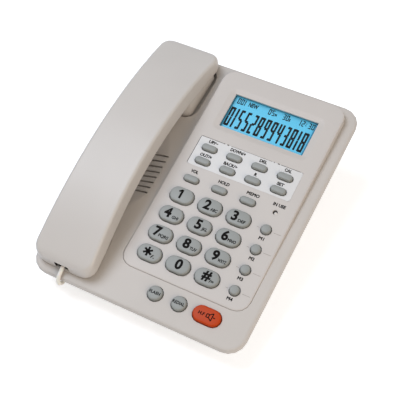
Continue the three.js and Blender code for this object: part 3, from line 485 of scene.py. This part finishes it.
def moulded_abs(name, colour, roughness, grain=0.9, relief=0.012, specular=0.4):
    """ABS, injection moulded against a spark-eroded tool: a satin skin with a fine even grain."""
    material, tree, place = new_material(name)
    # The real grain is about 0.1 mm; it is drawn as coarse as it needs to be to show at all.
    pits = noise(tree, place, grain * MM, 1)
    haze = noise(tree, place, 35 * MM, 2)
    coat(tree, {"IOR": 1.53, "Specular IOR Level": specular}, {
        "Base Color": mottled(tree, place, colour, 0.94, 45 * MM, 0.5),
        "Roughness": mapped(tree, haze, {"To Min": roughness - 0.05, "To Max": roughness + 0.05}),
        "Normal": bumped(tree, pits, 0.35, relief * MM)})
    return material


def drifting(name, colour, drift, values, pits=None):
    """A material of one colour. Its drift is how dark, in what patches and how much of each; its
    pits are their size, detail, strength and depth."""
    material, tree, place = new_material(name)
    shade, patch, share = drift
    links = {"Base Color": mottled(tree, place, colour, shade, patch * MM, share)}
    if pits:
        size, detail, strength, depth = pits
        links["Normal"] = bumped(tree, noise(tree, place, size * MM, detail), strength, depth * MM)
    coat(tree, values, links)
    return material


def printing_ink(name, colour):
    """Pad-printed ink: matt, with the faint unevenness of a transferred film."""
    return drifting(name, colour, (0.7, 1.5, 0.6), {"Roughness": 0.7, "Specular IOR Level": 0.12})


def printed_strip(name, colour):
    """Screen-printed polycarbonate strip: smooth, brighter than the mouldings, slightly glossy."""
    return drifting(name, colour, (0.96, 20, 0.6), {"Roughness": 0.38, "IOR": 1.58},
                    (6, 1, 0.15, 0.02))


def soft_rubber(name, colour, roughness):
    """Moulded rubber or silicone: matt and slightly dusty, with a soft skin."""
    return drifting(name, colour, (0.85, 6, 0.6), {
        "Roughness": roughness, "Sheen Weight": 0.15, "Sheen Roughness": 0.5},
        (0.8, 3, 0.3, 0.02))


def extruded_pvc(name, colour):
    """Flexible PVC, extruded round the wires: soft white with a low even gloss."""
    return drifting(name, colour, (0.92, 12, 0.5), {
        "Roughness": 0.4, "Subsurface Weight": 0.05, "Subsurface Scale": 1 * MM},
        (1.2, 1, 0.2, 0.015))


def clear_acrylic(name, tint, share):
    """Clear moulded acrylic or polycarbonate: nearly invisible but for a faint tint and gloss."""
    material, tree, place = new_material(name)
    haze = noise(tree, place, 8 * MM, 1)
    coat(tree, {"IOR": 1.49, "Alpha": share, "Base Color": tint},
         {"Roughness": mapped(tree, haze, {"To Min": 0.04, "To Max": 0.1})})
    return material


PAINTED_EDGE_SHADE = 0.55  # how dark the painted shade along the display's edges gets


def liquid_crystal(name, colour, middle, half):
    """Backlit liquid crystal cell: a lit blue behind glass, with painted shade along its edges
    that reaches furthest in from the left and the top.
    """
    material, tree, place = new_material(name)
    level = add(tree, "Mapping", {"Location": -middle, "Rotation": (-PANEL_TILT, 0, 0)},
                {"Vector": place})
    apart = add(tree, "SeparateXYZ", None, {"Vector": level.outputs["Vector"]})
    glow = mottled(tree, place, colour, 0.92, 25 * MM, 0.5)
    # Painted shade along each edge of the cell, and how far in it reaches from each side.
    for axis, edge, reach in ((0, -half.x, 4 * MM), (0, half.x, -2 * MM),
                              (1, half.y, -5 * MM), (1, -half.y, 1.5 * MM)):
        painted_shade = mapped(tree, apart.outputs[axis], {
            "interpolation_type": "SMOOTHSTEP", "From Min": edge, "From Max": edge + reach,
            "To Min": PAINTED_EDGE_SHADE, "To Max": 0})
        mix = add(tree, "Mix", {"data_type": "RGBA", 7: darker(colour, PAINTED_EDGE_SHADE)},
                  {0: painted_shade, 6: glow})
        glow = mix.outputs[2]
    coat(tree, {"Roughness": 0.3, "Emission Strength": 0.15},
         {"Base Color": glow, "Emission Color": glow})
    return material


def solder_mask(name):
    """Green solder mask over copper tracks, which show as slightly lighter, raised bands."""
    material, tree, place = new_material(name)
    tracks = add(tree, "TexBrick", {
        "Scale": 1 / (12 * MM), "Color1": linear("#1f5a34"), "Color2": linear("#236339"),
        "Mortar": linear("#3c8550"), "Mortar Size": 0.06}, {"Vector": place})
    coat(tree, {"Roughness": 0.35}, {
        "Base Color": tracks.outputs["Color"],
        "Normal": bumped(tree, tracks.outputs["Fac"], 0.3, 0.035 * MM)})
    return material


def studio_paint(name, colour, glow):
    """Matt white studio paint that the camera sees as white, and that still takes a shadow."""
    material, tree, place = new_material(name)
    matt = add(tree, "BsdfDiffuse", None, {"Color": mottled(tree, place, colour, 0.995, 0.3, 1.0)})
    light = add(tree, "Emission", {"Color": (1, 1, 1, 1), "Strength": glow})
    both = add(tree, "AddShader", None, {0: matt.outputs[0], 1: light.outputs[0]})
    ray = add(tree, "LightPath")
    seen = add(tree, "Math", {"operation": "MAXIMUM"},
               {0: ray.outputs["Is Camera Ray"], 1: ray.outputs["Is Glossy Ray"]})
    through = add(tree, "Math", {"operation": "MAXIMUM"},
                  {0: seen.outputs[0], 1: ray.outputs["Is Transmission Ray"]})
    shader = add(tree, "MixShader", None, {
        0: through.outputs[0], 1: matt.outputs[0], 2: both.outputs[0]})
    show(tree, shader)
    return material


# ---------------------------------------------------------------- operators

# The middle of the picture, from the middle of the base, and its height. Each light's name, place,
# diameter and colour. All in metres.
AIM_SHIFT = (0.9 * MM, -1.2 * MM)
AIM_HEIGHT = 30 * MM
LIGHTS = (
    ("key_light", (-0.55, -0.04, 1.3), 0.8, "#e9f2ff"),
    ("fill_light", (1.0, -0.5, 0.6), 0.9, "#ffe8cc"),
)
FLOOR_SIZE = 4
FLOOR_GLOW = 0.54


def facing(direction):
    """The turn that points a camera or a light along a direction."""
    return direction.to_track_quat("-Z", "Y").to_matrix().to_4x4()


class Step:
    """What the operators share: each builds its pieces from the panel's sizes and colours."""

    def execute(self, context):
        self.build(context.scene.telephone_sizes, context.scene.telephone_colours)
        return {"FINISHED"}


class TELEPHONE_OT_studio(Step, bpy.types.Operator):
    """Sets up the camera, the floor, the backdrop and the soft light"""
    bl_idname = "telephone.studio"
    bl_label = "Studio"

    def build(self, sizes, colours):
        scene = bpy.context.scene
        studio = scene.telephone_studio
        low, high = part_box("upper_shell")
        aim = Vector(((low.x + high.x) / 2 + AIM_SHIFT[0], (low.y + high.y) / 2 + AIM_SHIFT[1],
                      AIM_HEIGHT))
        flat = cos(studio.elevation)
        away = Vector((sin(studio.azimuth) * flat, -cos(studio.azimuth) * flat,
                       sin(studio.elevation)))
        camera = put("camera", bpy.data.cameras.new("camera"))
        camera.data.lens = studio.lens
        camera.data.sensor_width = 36
        camera.data.clip_end = 20
        camera.matrix_world = (Matrix.Translation(aim + away * studio.distance) @ facing(-away)
                               @ Matrix.Rotation(studio.roll, 4, "Z"))
        scene.camera = camera

        powers = (studio.key_power, studio.fill_power)
        for (name, place, size, colour), power in zip(LIGHTS, powers):
            self.add_light(name, place, aim, size, power, colour)

        world = bpy.data.worlds.new("studio_air")
        world.use_nodes = True
        tree = world.node_tree
        tree.nodes.clear()
        room = add(tree, "Background", {"Color": linear("#fffbf4"), "Strength": studio.ambient})
        white = add(tree, "Background", {"Color": (1, 1, 1, 1), "Strength": 1.0})
        ray = add(tree, "LightPath")
        both = add(tree, "MixShader", None, {
            0: ray.outputs["Is Camera Ray"], 1: room.outputs[0], 2: white.outputs[0]})
        add(tree, "OutputWorld", None, {"Surface": both.outputs[0]})
        scene.world = world
        scene.view_settings.view_transform = "Standard"

        bm = bmesh.new()
        bmesh.ops.create_grid(bm, x_segments=1, y_segments=1, size=FLOOR_SIZE)
        mesh = bpy.data.meshes.new("floor")
        bm.to_mesh(mesh)
        bm.free()
        mesh.materials.append(studio_paint("matt_studio_paint", colours.floor, FLOOR_GLOW))
        put("floor", mesh)

    def add_light(self, name, place, aim, size, power, colour):
        light = bpy.data.lights.new(name, "AREA")
        light.shape = "DISK"
        light.size = size
        light.energy = power
        light.color = linear(colour)[:3]
        lamp = put(name, light)
        lamp.matrix_world = Matrix.Translation(place) @ facing(aim - Vector(place))


# The straight stretch before the back plug, and the number of turns in which a row of curls opens
# out.
STRAIGHT_TAIL = 9 * MM
RUN_IN_CURLS = 1.6


class TELEPHONE_OT_cord(Step, bpy.types.Operator):
    """Lays the handset cord: the straight lead, then the curls as far as the plug at the back"""
    bl_idname = "telephone.cord"
    bl_label = "Handset cord"

    def build(self, sizes, colours):
        lead = smooth_path(LEAD_ROUTE, 6)
        points = lead + self.curls(smooth_path(CURLY_ROUTE, 24), sizes)
        curve = bpy.data.curves.new("handset_cord_pvc", "CURVE")
        curve.dimensions = "3D"
        curve.bevel_depth = sizes.cord_diameter / 2
        curve.bevel_resolution = 2
        curve.use_fill_caps = True
        spline = curve.splines.new("POLY")
        spline.points.add(len(points) - 1)
        for place, point in zip(spline.points, points):
            place.co = (*point, 1)
        spline.use_smooth = True
        curve.materials.append(extruded_pvc("extruded_pvc_white", colours.cord))
        mesh = mesh_from(curve)
        mesh.name = "curly_handset_cord"
        cord = put(mesh.name, mesh)
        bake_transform(cord)
        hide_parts("handset_cord", "curly_cord")

    def curls(self, route, sizes):
        """The curled stretch: turns round the route, drawn in to it at both ends."""
        step = sizes.curl_pitch / sizes.curl_points
        places, length = evenly(route, step)
        run_in = RUN_IN_CURLS * sizes.curl_pitch
        points = []
        for i, (centre, along) in enumerate(places):
            walked = i * step
            left = length - STRAIGHT_TAIL - walked
            reach = min(1, walked / run_in, max(0, left) / run_in)
            radius = sizes.curl_radius * sin(reach * pi / 2)
            angle = 2 * pi * walked / sizes.curl_pitch
            side = along.cross(Vector((0, 0, 1))).normalized()
            up = side.cross(along)
            if left > 0 or i % 4 == 0:
                points.append(centre + radius * (cos(angle) * side + sin(angle) * up))
        return points


# The faceplate's hidden flange and the radius of its corners, and how far its outline is widened.
PLATE_FLANGE = 1.8 * MM
PLATE_CORNER = 10.5 * MM
PLATE_WIDER = 0.32 * MM
# The mouth's cradle well and the ear's: length, width and how far each is widened. Then the radius
# of its corners and the room round it.
WELLS = ((38 * MM, 40 * MM, 0.7 * MM), (47.5 * MM, 50 * MM, 1.4 * MM))
WELL_CORNER = 10 * MM
WELL_ROOM = 1 * MM
# The fine lines beside the memory keys: their thickness, the right one's start from the key's edge
# and end from its middle, and the left one's length and middle.
SCRIBE = 0.3 * MM
SCRIBE_START, SCRIBE_END = 1.2 * MM, 12.2 * MM
SCRIBE_SHORT, SCRIBE_LEFT = 2 * MM, -6.4 * MM


class TELEPHONE_OT_base(Step, bpy.types.Operator):
    """Finishes the base: its two shells, the faceplate, the feet and the small mouldings"""
    bl_idname = "telephone.base"
    bl_label = "Base"

    def build(self, sizes, colours):
        shell = moulded_abs("moulded_abs_warm_grey", colours.base, 0.46)
        smooth_copy("upper_shell", "base_top_moulding", shell,
                    spreads=self.cradle_wells())
        smooth_copy("lower_shell", "base_bottom_moulding", shell)
        plate = moulded_abs("moulded_abs_faceplate", colours.faceplate, 0.44)
        low, high, _ = extent("faceplate", DECK)
        flange = Vector((PLATE_FLANGE, PLATE_FLANGE, 0))
        smooth_copy("faceplate", "faceplate_moulding", plate,
                    spreads=[(DECK, low + flange, high - flange, PLATE_CORNER, 1.7 * MM,
                              PLATE_WIDER)])
        dark = moulded_abs("moulded_abs_black", linear("#26262a"), 0.5)
        rubber = soft_rubber("moulded_rubber_black", linear("#2f2f31"), 0.85)
        for i in range(1, 5):
            smooth_copy(f"foot_{i}", f"rubber_foot_{i}", rubber)
        paint(shell, "hook_plunger", "battery_door")
        paint(dark, "loudspeaker", "hook_switch", "line_jack", "handset_jack", "ringer_switch")
        paint(solder_mask("solder_mask_green"), "main_board")
        paint(soft_rubber("moulded_silicone_grey", linear("#b9bbb8"), 0.7), "keypad_mat")
        self.scribe_lines(sizes)

    def cradle_wells(self):
        """Opens the gap round the two cups of the handset a little, on the side that shows."""
        low, high, _ = extent("handset_inner_shell", DECK)
        middle = (low.x + high.x) / 2
        wells = []
        for start, (length, width, wider) in zip((low.y, high.y - WELLS[1][0]), WELLS):
            corner = Vector((middle - 2 * WELL_ROOM, start - WELL_ROOM, 0))
            far = Vector((middle + width / 2 + WELL_ROOM, start + length + WELL_ROOM, 0))
            wells.append((DECK, corner, far, WELL_CORNER, 0.5 * MM, wider))
        return wells

    def scribe_lines(self, sizes):
        """The fine moulded lines that run from the memory keys to the faceplate's edge."""
        bm = bmesh.new()
        level = extent("label_plate", PANEL)[1].z + sizes.ink
        for name in MEMORY_KEYS:
            _, high, middle = extent(f"key_{name}", PANEL)
            start, end = high.x + SCRIBE_START, middle.x + SCRIBE_END
            bar(bm, (start + end) / 2, middle.y, level, end - start, SCRIBE)
            bar(bm, middle.x + SCRIBE_LEFT, middle.y, level, SCRIBE_SHORT, SCRIBE)
        shade = printing_ink("moulded_line_shade", linear("#a79f99"))
        finish_piece(bm, "faceplate_lines", shade, "base", PANEL)


# The lit part of the cell: its middle from the cell's, and half its size. Then the frame of
# painted shade just inside the opening: its width, its height and the thickness of its lines.
LIT_SHIFT = Vector((-0.6, 0.6, 0)) * MM
LIT_HALF = Vector((35.3, 15.4, 0)) * MM
SHADE_FRAME_WIDTH, SHADE_FRAME_HEIGHT, SHADE_FRAME_LINE = 70.1 * MM, 30.4 * MM, 0.5 * MM
# The large number and its place. The width of a digit and the room it takes, and the room of a 1,
# as shares of its height, in the large row and in the small one.
MAIN_NUMBER = ("0155289943818", -0.9 * MM, -3.4 * MM)
LARGE_SHARES = (0.233, 0.313, 0.194)
SMALL_SHARES = (0.44, 0.56, 0.36)
TOP_LINE = 12.1 * MM
# The colon between the hours and the minutes: its place, half its height and the size of a dot.
COLON_X, COLON_HALF, COLON_DOT = 26.6 * MM, 0.9 * MM, 0.8 * MM


class TELEPHONE_OT_display(Step, bpy.types.Operator):
    """Finishes the display: the lit cell with its digits, the window and the light block"""
    bl_idname = "telephone.display"
    bl_label = "Display"

    def build(self, sizes, colours):
        _, high, middle = extent("display_glass", PANEL)
        paint(liquid_crystal("liquid_crystal_blue", colours.display, middle + LIT_SHIFT, LIT_HALF),
              "display_glass")
        paint(clear_acrylic("clear_acrylic_window", linear("#cfe6ee"), 0.015), "display_window")
        paint(clear_acrylic("light_guide_acrylic", linear("#e9eef0"), 0.9), "backlight")
        level = high.z + 2 * sizes.ink
        bm = bmesh.new()
        number, right, up = MAIN_NUMBER
        self.add_number(bm, number, middle.x + right, middle.y + up, level, sizes.display_digit,
                        *LARGE_SHARES)
        top = middle.y + TOP_LINE
        for text, x in DISPLAY_NUMBERS:
            self.add_number(bm, text, middle.x + x * MM, top, level, sizes.display_small,
                            *SMALL_SHARES)
        for text, x, y, width, height in DISPLAY_WORDS:
            add_words(bm, text, height * MM, middle.x + x * MM, top + y * MM, level, DISPLAY_BOLD,
                      width * MM)
        for shift in (-1, 1):
            bar(bm, middle.x + COLON_X, top + shift * COLON_HALF, level, COLON_DOT, COLON_DOT)
        bars = printing_ink("liquid_crystal_dark", colours.display_bars)
        finish_piece(bm, "display_digits", bars, "base", PANEL)
        self.add_shade_frame(middle + LIT_SHIFT, level - sizes.ink)

    def add_shade_frame(self, middle, level):
        """A frame of dark lines on the cell just inside the opening: painted shade where the
        opening's edges shade the cell.
        """
        bm = bmesh.new()
        across, up, line = SHADE_FRAME_WIDTH, SHADE_FRAME_HEIGHT, SHADE_FRAME_LINE
        for side in (-0.5, 0.5):
            bar(bm, middle.x, middle.y + side * up, level, across + line, line)
            bar(bm, middle.x + side * across, middle.y, level, 2 * line, up)
        shade = printing_ink("painted_shade_frame", linear("#3f9cc4"))
        finish_piece(bm, "display_shade_frame", shade, "base", PANEL)

    def add_number(self, bm, text, x, y, level, height, width_share, advance_share, narrow_share):
        """Rows of seven-bar digits about (x, y). A 1 takes less room than the others."""
        advances = [height * (narrow_share if c == "1" else advance_share) for c in text]
        left = x - sum(advances) / 2
        for face, advance in zip(text, advances):
            self.add_digit(bm, face, left + advance / 2, y, level, height, height * width_share)
            left += advance

    def add_digit(self, bm, face, x, y, level, height, width):
        thick = max(0.12 * height, 0.8 * MM)
        thin = max(0.088 * height, 0.68 * MM)
        side = (width - thin) / 2
        if face == "1":
            side = 0
        across = (width - 1.1 * thin, thick)
        along = (thin, height / 2 - 0.1 * thick)
        spots = {
            "a": (0, (height - thick) / 2, across), "g": (0, 0, across),
            "d": (0, (thick - height) / 2, across),
            "b": (side, height / 4, along), "c": (side, -height / 4, along),
            "e": (-side, -height / 4, along), "f": (-side, height / 4, along),
        }
        for letter in LIT_BARS[face]:
            dx, dy, (w, h) = spots[letter]
            bar(bm, x + dx, y + dy, level, w, h, corner=0.25 * min(w, h))


FLANGE_THICKNESS = 1.3 * MM  # of the hidden flange under each cap


class TELEPHONE_OT_keys(Step, bpy.types.Operator):
    """Makes the caps of all the keys, each riding on its own slide"""
    bl_idname = "telephone.keys"
    bl_label = "Keys"

    def build(self, sizes, colours):
        grey = moulded_abs("moulded_abs_key_grey", colours.keys, 0.42, grain=0.7)
        orange = moulded_abs("moulded_abs_orange", colours.hands_free, 0.45, grain=0.7,
                             specular=0.2)
        for name in (*DIAL_FACES, *FUNCTION_KEYS, *MEMORY_KEYS):
            self.add_cap(sizes, name, PANEL, grey, "key_plastic")
        for name in FRONT_KEYS:
            material = orange if name == "speaker" else grey
            slot = "orange_plastic" if name == "speaker" else "key_plastic"
            self.add_cap(sizes, name, DECK, material, slot)

    def add_cap(self, sizes, name, tilt, material, slot):
        node = f"key_{name}"
        low, high, _ = extent(node, tilt)
        bm = bmesh.new()
        face = stadium_face(bm, low, high, low.z)
        face = raise_face(bm, face, FLANGE_THICKNESS)
        bmesh.ops.inset_region(bm, faces=[face], thickness=sizes.key_flange + sizes.key_gap,
                               use_even_offset=True)
        face = raise_face(bm, face, high.z - low.z - FLANGE_THICKNESS)
        edge = min(sizes.key_edge, 0.22 * (high.y - low.y - 2 * sizes.key_flange))
        bevel_rim(bm, face, edge)
        bmesh.ops.recalc_face_normals(bm, faces=bm.faces)
        finish_piece(bm, f"cap_{name}", material, BODY_OF[node], tilt, (node,))


# How far the outline of each kind of lettering is drawn out to make it bold.
DIGIT_BOLD, WORD_BOLD, FINE_BOLD, DISPLAY_BOLD = 0.44 * MM, 0.17 * MM, 0.12 * MM, 0.2 * MM
# Strokes of the star and of the 1: shift, length, width and angle. Heights of other lettering.
STAR_STROKES = tuple((0, 0, 7.6, 1.65, 90 + 60 * turn) for turn in range(3))
ONE_STROKES = ((0.7, 0, 7.7, 1.75, 90), (-0.75, 2.35, 2.5, 1.4, 35))
FRONT_HEIGHT, HANDS_FREE_HEIGHT = 2.4 * MM, 2.5 * MM
# The loudspeaker sign's strokes: shift, length and angle. Then their width.
SIGN_STROKES = (
    (-1.4, 0, 2.6, 90), (0.6, 0, 2.6, 90), (-0.4, 1.3, 2, 0), (-0.4, -1.3, 2, 0),
    (1.9, 2.1, 3.1, 38), (1.9, -2.1, 3.1, -38), (3.1, 0, 6, 90), (4.6, 0, 1.7, 0),
)
SIGN_STROKE = 0.75 * MM
# The broken dark line of painted shade along the label strip's top edge: middle, length and
# thickness of each part.
LABEL_LINES = (
    (-33, 19.5, 0.35), (-23.3, 0.8, 0.7), (-20.3, 1.6, 0.8), (0, 35, 0.2), (19.2, 0.8, 0.6),
    (23, 1.6, 0.8), (33, 17, 0.3),
)
# The lamp: half profile of its collar as distance out and height, the depth of its well's dark
# disc of painted shadow, and the lens in it, set towards the lower right so that the painted
# shadow shows at the upper left.
COLLAR_PROFILE = ((1.9, -1.2), (1.9, 0), (2.1, 0.12), (2.9, 0.12), (3.1, 0.02))
LAMP_WELL_DEPTH = 0.8 * MM
LENS_SIZE = (1.15 * MM, 1.15 * MM, 0.7 * MM)
LENS_SHIFT = (0.7 * MM, -0.7 * MM, -0.3 * MM)


class TELEPHONE_OT_lettering(Step, bpy.types.Operator):
    """Prints the digits and letters on the keys and the words beside them"""
    bl_idname = "telephone.lettering"
    bl_label = "Lettering"

    def build(self, sizes, colours):
        ink = printing_ink("pad_print_black", colours.ink)
        fine = printing_ink("pad_print_dark_grey", colours.fine_ink)
        for name in DIAL_FACES:
            self.print_dial_key(sizes, name, ink)
        self.print_words(sizes, fine)
        for name, text, width in (("flash", "FLASH", 8.8), ("redial", "REDIAL", 9.6)):
            _, high, middle = extent(f"key_{name}", DECK)
            bm = bmesh.new()
            add_words(bm, text, FRONT_HEIGHT, middle.x, middle.y, high.z + sizes.ink, FINE_BOLD,
                      width * MM)
            finish_piece(bm, f"print_{name}", fine, BODY_OF[f"key_{name}"], DECK)
        self.print_hands_free(sizes)
        self.add_label(sizes, colours)
        self.add_lens(colours)

    def print_dial_key(self, sizes, name, ink):
        node = f"key_{name}"
        _, high, middle = extent(node, PANEL)
        level = high.z + sizes.ink
        digit, shift, letters, letters_shift, letters_width = DIAL_FACES[name]
        bm = bmesh.new()
        x, y = middle.x + shift * MM, middle.y + 0.5 * MM
        strokes = {"*": STAR_STROKES, "1": ONE_STROKES}.get(digit, ())
        for right, up, length, width, degrees in strokes:
            bar(bm, x + right * MM, y + up * MM, level, length * MM, width * MM, degrees)
        if not strokes:
            add_words(bm, digit, sizes.digit_height, x, y, level, DIGIT_BOLD)
        if letters:
            low_line = y - 3.85 * MM + sizes.letter_height / 2
            add_words(bm, letters, sizes.letter_height, middle.x + letters_shift * MM, low_line,
                      level, FINE_BOLD, letters_width * MM)
        finish_piece(bm, f"print_{name}", ink, BODY_OF[node], PANEL)

    def print_words(self, sizes, ink):
        bm = bmesh.new()
        surface = extent("label_plate", PANEL)[1].z + sizes.ink
        for node, text, right, up, width in PRINTED_WORDS:
            middle = extent(node, PANEL)[2]
            add_words(bm, text, sizes.word_height, middle.x + right * MM, middle.y + up * MM,
                      surface, WORD_BOLD, width * MM)
        finish_piece(bm, "faceplate_print", ink, "base", PANEL)

    def add_label(self, sizes, colours):
        """The white strip behind the upper keys, with a broken dark line of painted shade along
        its top edge and a line of it along its left edge.
        """
        low, high, _ = extent("label_plate", PANEL)
        strip = printed_strip("printed_polycarbonate_strip", colours.label)
        smooth_copy("label_plate", "label_strip", strip,
                    spreads=[(PANEL, low, high, 1 * MM, 0.5 * MM, 0.22 * MM)])
        bm = bmesh.new()
        middle = (low.x + high.x) / 2
        level = high.z + sizes.ink
        # Painted shade along the strip's top and left edges.
        for x, length, thick in LABEL_LINES:
            bar(bm, middle + x * MM, high.y, level, length * MM, thick * MM)
        bar(bm, low.x, (low.y + high.y) / 2, level, high.y - low.y - 1.5 * MM, 0.35 * MM, 90)
        shade = printing_ink("painted_edge_shade_grey", linear("#5c5653"))
        finish_piece(bm, "label_edge_shade", shade, "base", PANEL)

    def add_lens(self, colours):
        """The in-use lamp: a low collar, a dark disc of painted shadow in its well, and a small
        dull lens in the well, pale and set towards its lower right, partly a painted highlight.
        """
        low, high, _ = extent("in_use_lamp", PANEL)
        x, y = (low.x + high.x) / 2, (low.y + high.y) / 2
        surface = extent("label_plate", PANEL)[1].z
        collar = bmesh.new()
        profile = [collar.verts.new((x + out * MM, y, surface + up * MM))
                   for out, up in COLLAR_PROFILE]
        edges = [collar.edges.new(pair) for pair in zip(profile, profile[1:])]
        bmesh.ops.spin(collar, geom=profile + edges, cent=(x, y, 0), axis=(0, 0, 1),
                       angle=2 * pi, steps=32, use_merge=True)
        bmesh.ops.recalc_face_normals(collar, faces=collar.faces)
        rim = moulded_abs("moulded_lamp_collar", colours.faceplate, 0.46)
        finish_piece(collar, "lamp_collar", rim, "base", PANEL)
        # A dark disc at the bottom of the well: painted shadow.
        well = bmesh.new()
        bmesh.ops.create_circle(well, cap_ends=True, segments=32,
                                radius=COLLAR_PROFILE[0][0] * MM,
                                matrix=Matrix.Translation((x, y, surface - LAMP_WELL_DEPTH)))
        shade = moulded_abs("lamp_well_painted_shadow", linear("#3b3634"), 0.6)
        finish_piece(well, "lamp_well", shade, "base", PANEL)
        # The pale lens, set towards the lower right: a real lens, and partly a painted highlight.
        bm = bmesh.new()
        made = bmesh.ops.create_uvsphere(bm, u_segments=24, v_segments=12, radius=1)
        place = (Matrix.Translation(Vector((x, y, surface)) + Vector(LENS_SHIFT))
                 @ Matrix.Diagonal((*LENS_SIZE, 1)))
        bmesh.ops.transform(bm, matrix=place, verts=made["verts"])
        lens = clear_acrylic("lamp_lens_and_painted_highlight", linear("#e2deda"), 1.0)
        finish_piece(bm, "lamp_lens", lens, "base", PANEL, ("in_use_lamp",), sharp=180)

    def print_hands_free(self, sizes):
        """The hands-free key's letters and its little loudspeaker sign."""
        _, high, middle = extent("key_speaker", DECK)
        level = high.z + sizes.ink
        bm = bmesh.new()
        add_words(bm, "H.F", HANDS_FREE_HEIGHT, middle.x - 4 * MM, middle.y, level, FINE_BOLD,
                  4.9 * MM)
        x, y = middle.x + 1.4 * MM, middle.y
        for right, up, length, degrees in SIGN_STROKES:
            bar(bm, x + right * MM, y + up * MM, level, length * MM, SIGN_STROKE, degrees)
        ink = printing_ink("pad_print_brown", linear("#240c06"))
        finish_piece(bm, "print_speaker", ink, BODY_OF["key_speaker"], DECK)


# The handset's long edges: their radius in the solid, the one drawn, and where that fades at the
# ends. Then how far the roof of the cord's notch is raised.
EDGE_WIDE, EDGE_TIGHT, EDGE_FADE = 5.5 * MM, 2.6 * MM, 9 * MM
ROOF_RISE = 1.3 * MM
# The notch's sill, and the dark plate of painted shade on its floor: start from the handset's end,
# depth, height above the socket's underside, and thickness.
SILL = (0, 1.3 * MM, 2.5 * MM, 1.3 * MM)
NOTCH_FLOOR = (1.4 * MM, 4.7 * MM, 1.2 * MM, 0.6 * MM)


class TELEPHONE_OT_handset(Step, bpy.types.Operator):
    """Finishes the handset: its two shells, and the pieces inside and at its end"""
    bl_idname = "telephone.handset"
    bl_label = "Handset"

    def build(self, sizes, colours):
        shell = moulded_abs("moulded_abs_handset", colours.handset, 0.4, relief=0.008)
        # Dark brown of the hidden parts and the socket, also used as painted shade in the cord's
        # notch.
        dark = moulded_abs("dark_brown_abs_and_notch_shade", linear("#2a1f1c"), 0.5)
        low, high, _ = extent("handset_socket", DECK)
        slack = Vector((0.1, 0, 0.1)) * MM
        for node, name, reshape in (
                ("handset_outer_shell", "handset_back_moulding", self.reshape_back),
                ("handset_inner_shell", "handset_front_moulding", None)):
            piece = smooth_copy(node, name, shell, reshape=reshape)
            # The dark brown on the notch's side and top walls is painted shade in the recess.
            paint_notch_shade(piece, DECK, low - slack - Vector((0, 8 * MM, 0)), high + slack, dark)
        self.add_mouth(shell, dark, low, high)
        paint(dark, "earpiece", "microphone", "handset_socket")
        paint(clear_acrylic("clear_polycarbonate_plug", linear("#e9eef0"), 0.2), "handset_plug",
              "base_plug")

    def reshape_back(self, bm):
        """Tightens the long edges of the handset's back and raises the roof of its notch."""
        low, high, _ = extent("handset_socket", DECK)
        middle = (low.x + high.x) / 2
        tighten_edges(bm, DECK, middle, EDGE_WIDE, EDGE_TIGHT, EDGE_FADE)
        back = DECK.inverted()
        for vert in bm.verts:
            place = back @ vert.co
            within = abs(place.x - middle) < (high.x - low.x) / 2 + 0.1 * MM
            if within and place.y < low.y - 4 * MM and -2 * MM < place.z - high.z < -1 * MM:
                vert.co = DECK @ (place + Vector((0, 0, ROOF_RISE)))

    def add_mouth(self, shell, dark, low, high):
        """The low wall under the cord where it leaves the handset's end, and behind it a dark
        plate on the notch's floor: painted shade.
        """
        end = extent("handset_outer_shell", DECK)[0].y
        across = high.x - low.x - 0.1 * MM
        for name, material, (start, depth, bottom, height) in (
                ("handset_sill", shell, SILL), ("notch_floor_shade", dark, NOTCH_FLOOR)):
            bm = bmesh.new()
            bmesh.ops.create_cube(bm, size=1)
            bmesh.ops.scale(bm, vec=(across, depth, height), verts=bm.verts)
            middle = Vector(((low.x + high.x) / 2, end + start + depth / 2,
                             low.z + bottom + height / 2))
            bmesh.ops.translate(bm, vec=middle, verts=bm.verts)
            bmesh.ops.bevel(bm, geom=bm.edges[:], offset=0.2 * MM, offset_type="OFFSET",
                            affect="EDGES", segments=2, profile=0.5, material=-1)
            finish_piece(bm, name, material, "handset", DECK)


class TELEPHONE_PT_build(bpy.types.Panel):
    """Lists the steps that dress the telephone"""
    bl_idname = "TELEPHONE_PT_build"
    bl_label = "Telephone"
    bl_space_type = "VIEW_3D"
    bl_region_type = "UI"
    bl_category = "Telephone"

    def draw(self, context):
        for name, group in GROUPS.items():
            box = self.layout.box()
            for entry in group.__annotations__:
                box.prop(getattr(context.scene, name), entry)
        for operator in OPERATORS:
            self.layout.operator(operator.bl_idname)


OPERATORS = (
    TELEPHONE_OT_studio, TELEPHONE_OT_cord, TELEPHONE_OT_base, TELEPHONE_OT_display,
    TELEPHONE_OT_keys, TELEPHONE_OT_lettering, TELEPHONE_OT_handset,
)
GROUPS = {"telephone_sizes": TelephoneSizes, "telephone_colours": TelephoneColours,
          "telephone_studio": TelephoneStudio}
CLASSES = (*GROUPS.values(), *OPERATORS, TELEPHONE_PT_build)


def register():
    for each in CLASSES:
        bpy.utils.register_class(each)
    for name, group in GROUPS.items():
        setattr(bpy.types.Scene, name, PointerProperty(type=group))


def unregister():
    for name in GROUPS:
        delattr(bpy.types.Scene, name)
    for each in reversed(CLASSES):
        bpy.utils.unregister_class(each)


def main():
    register()
    for step in OPERATORS:
        getattr(bpy.ops.telephone, step.bl_idname.split(".")[1])()


if __name__ == "__main__":
    main()
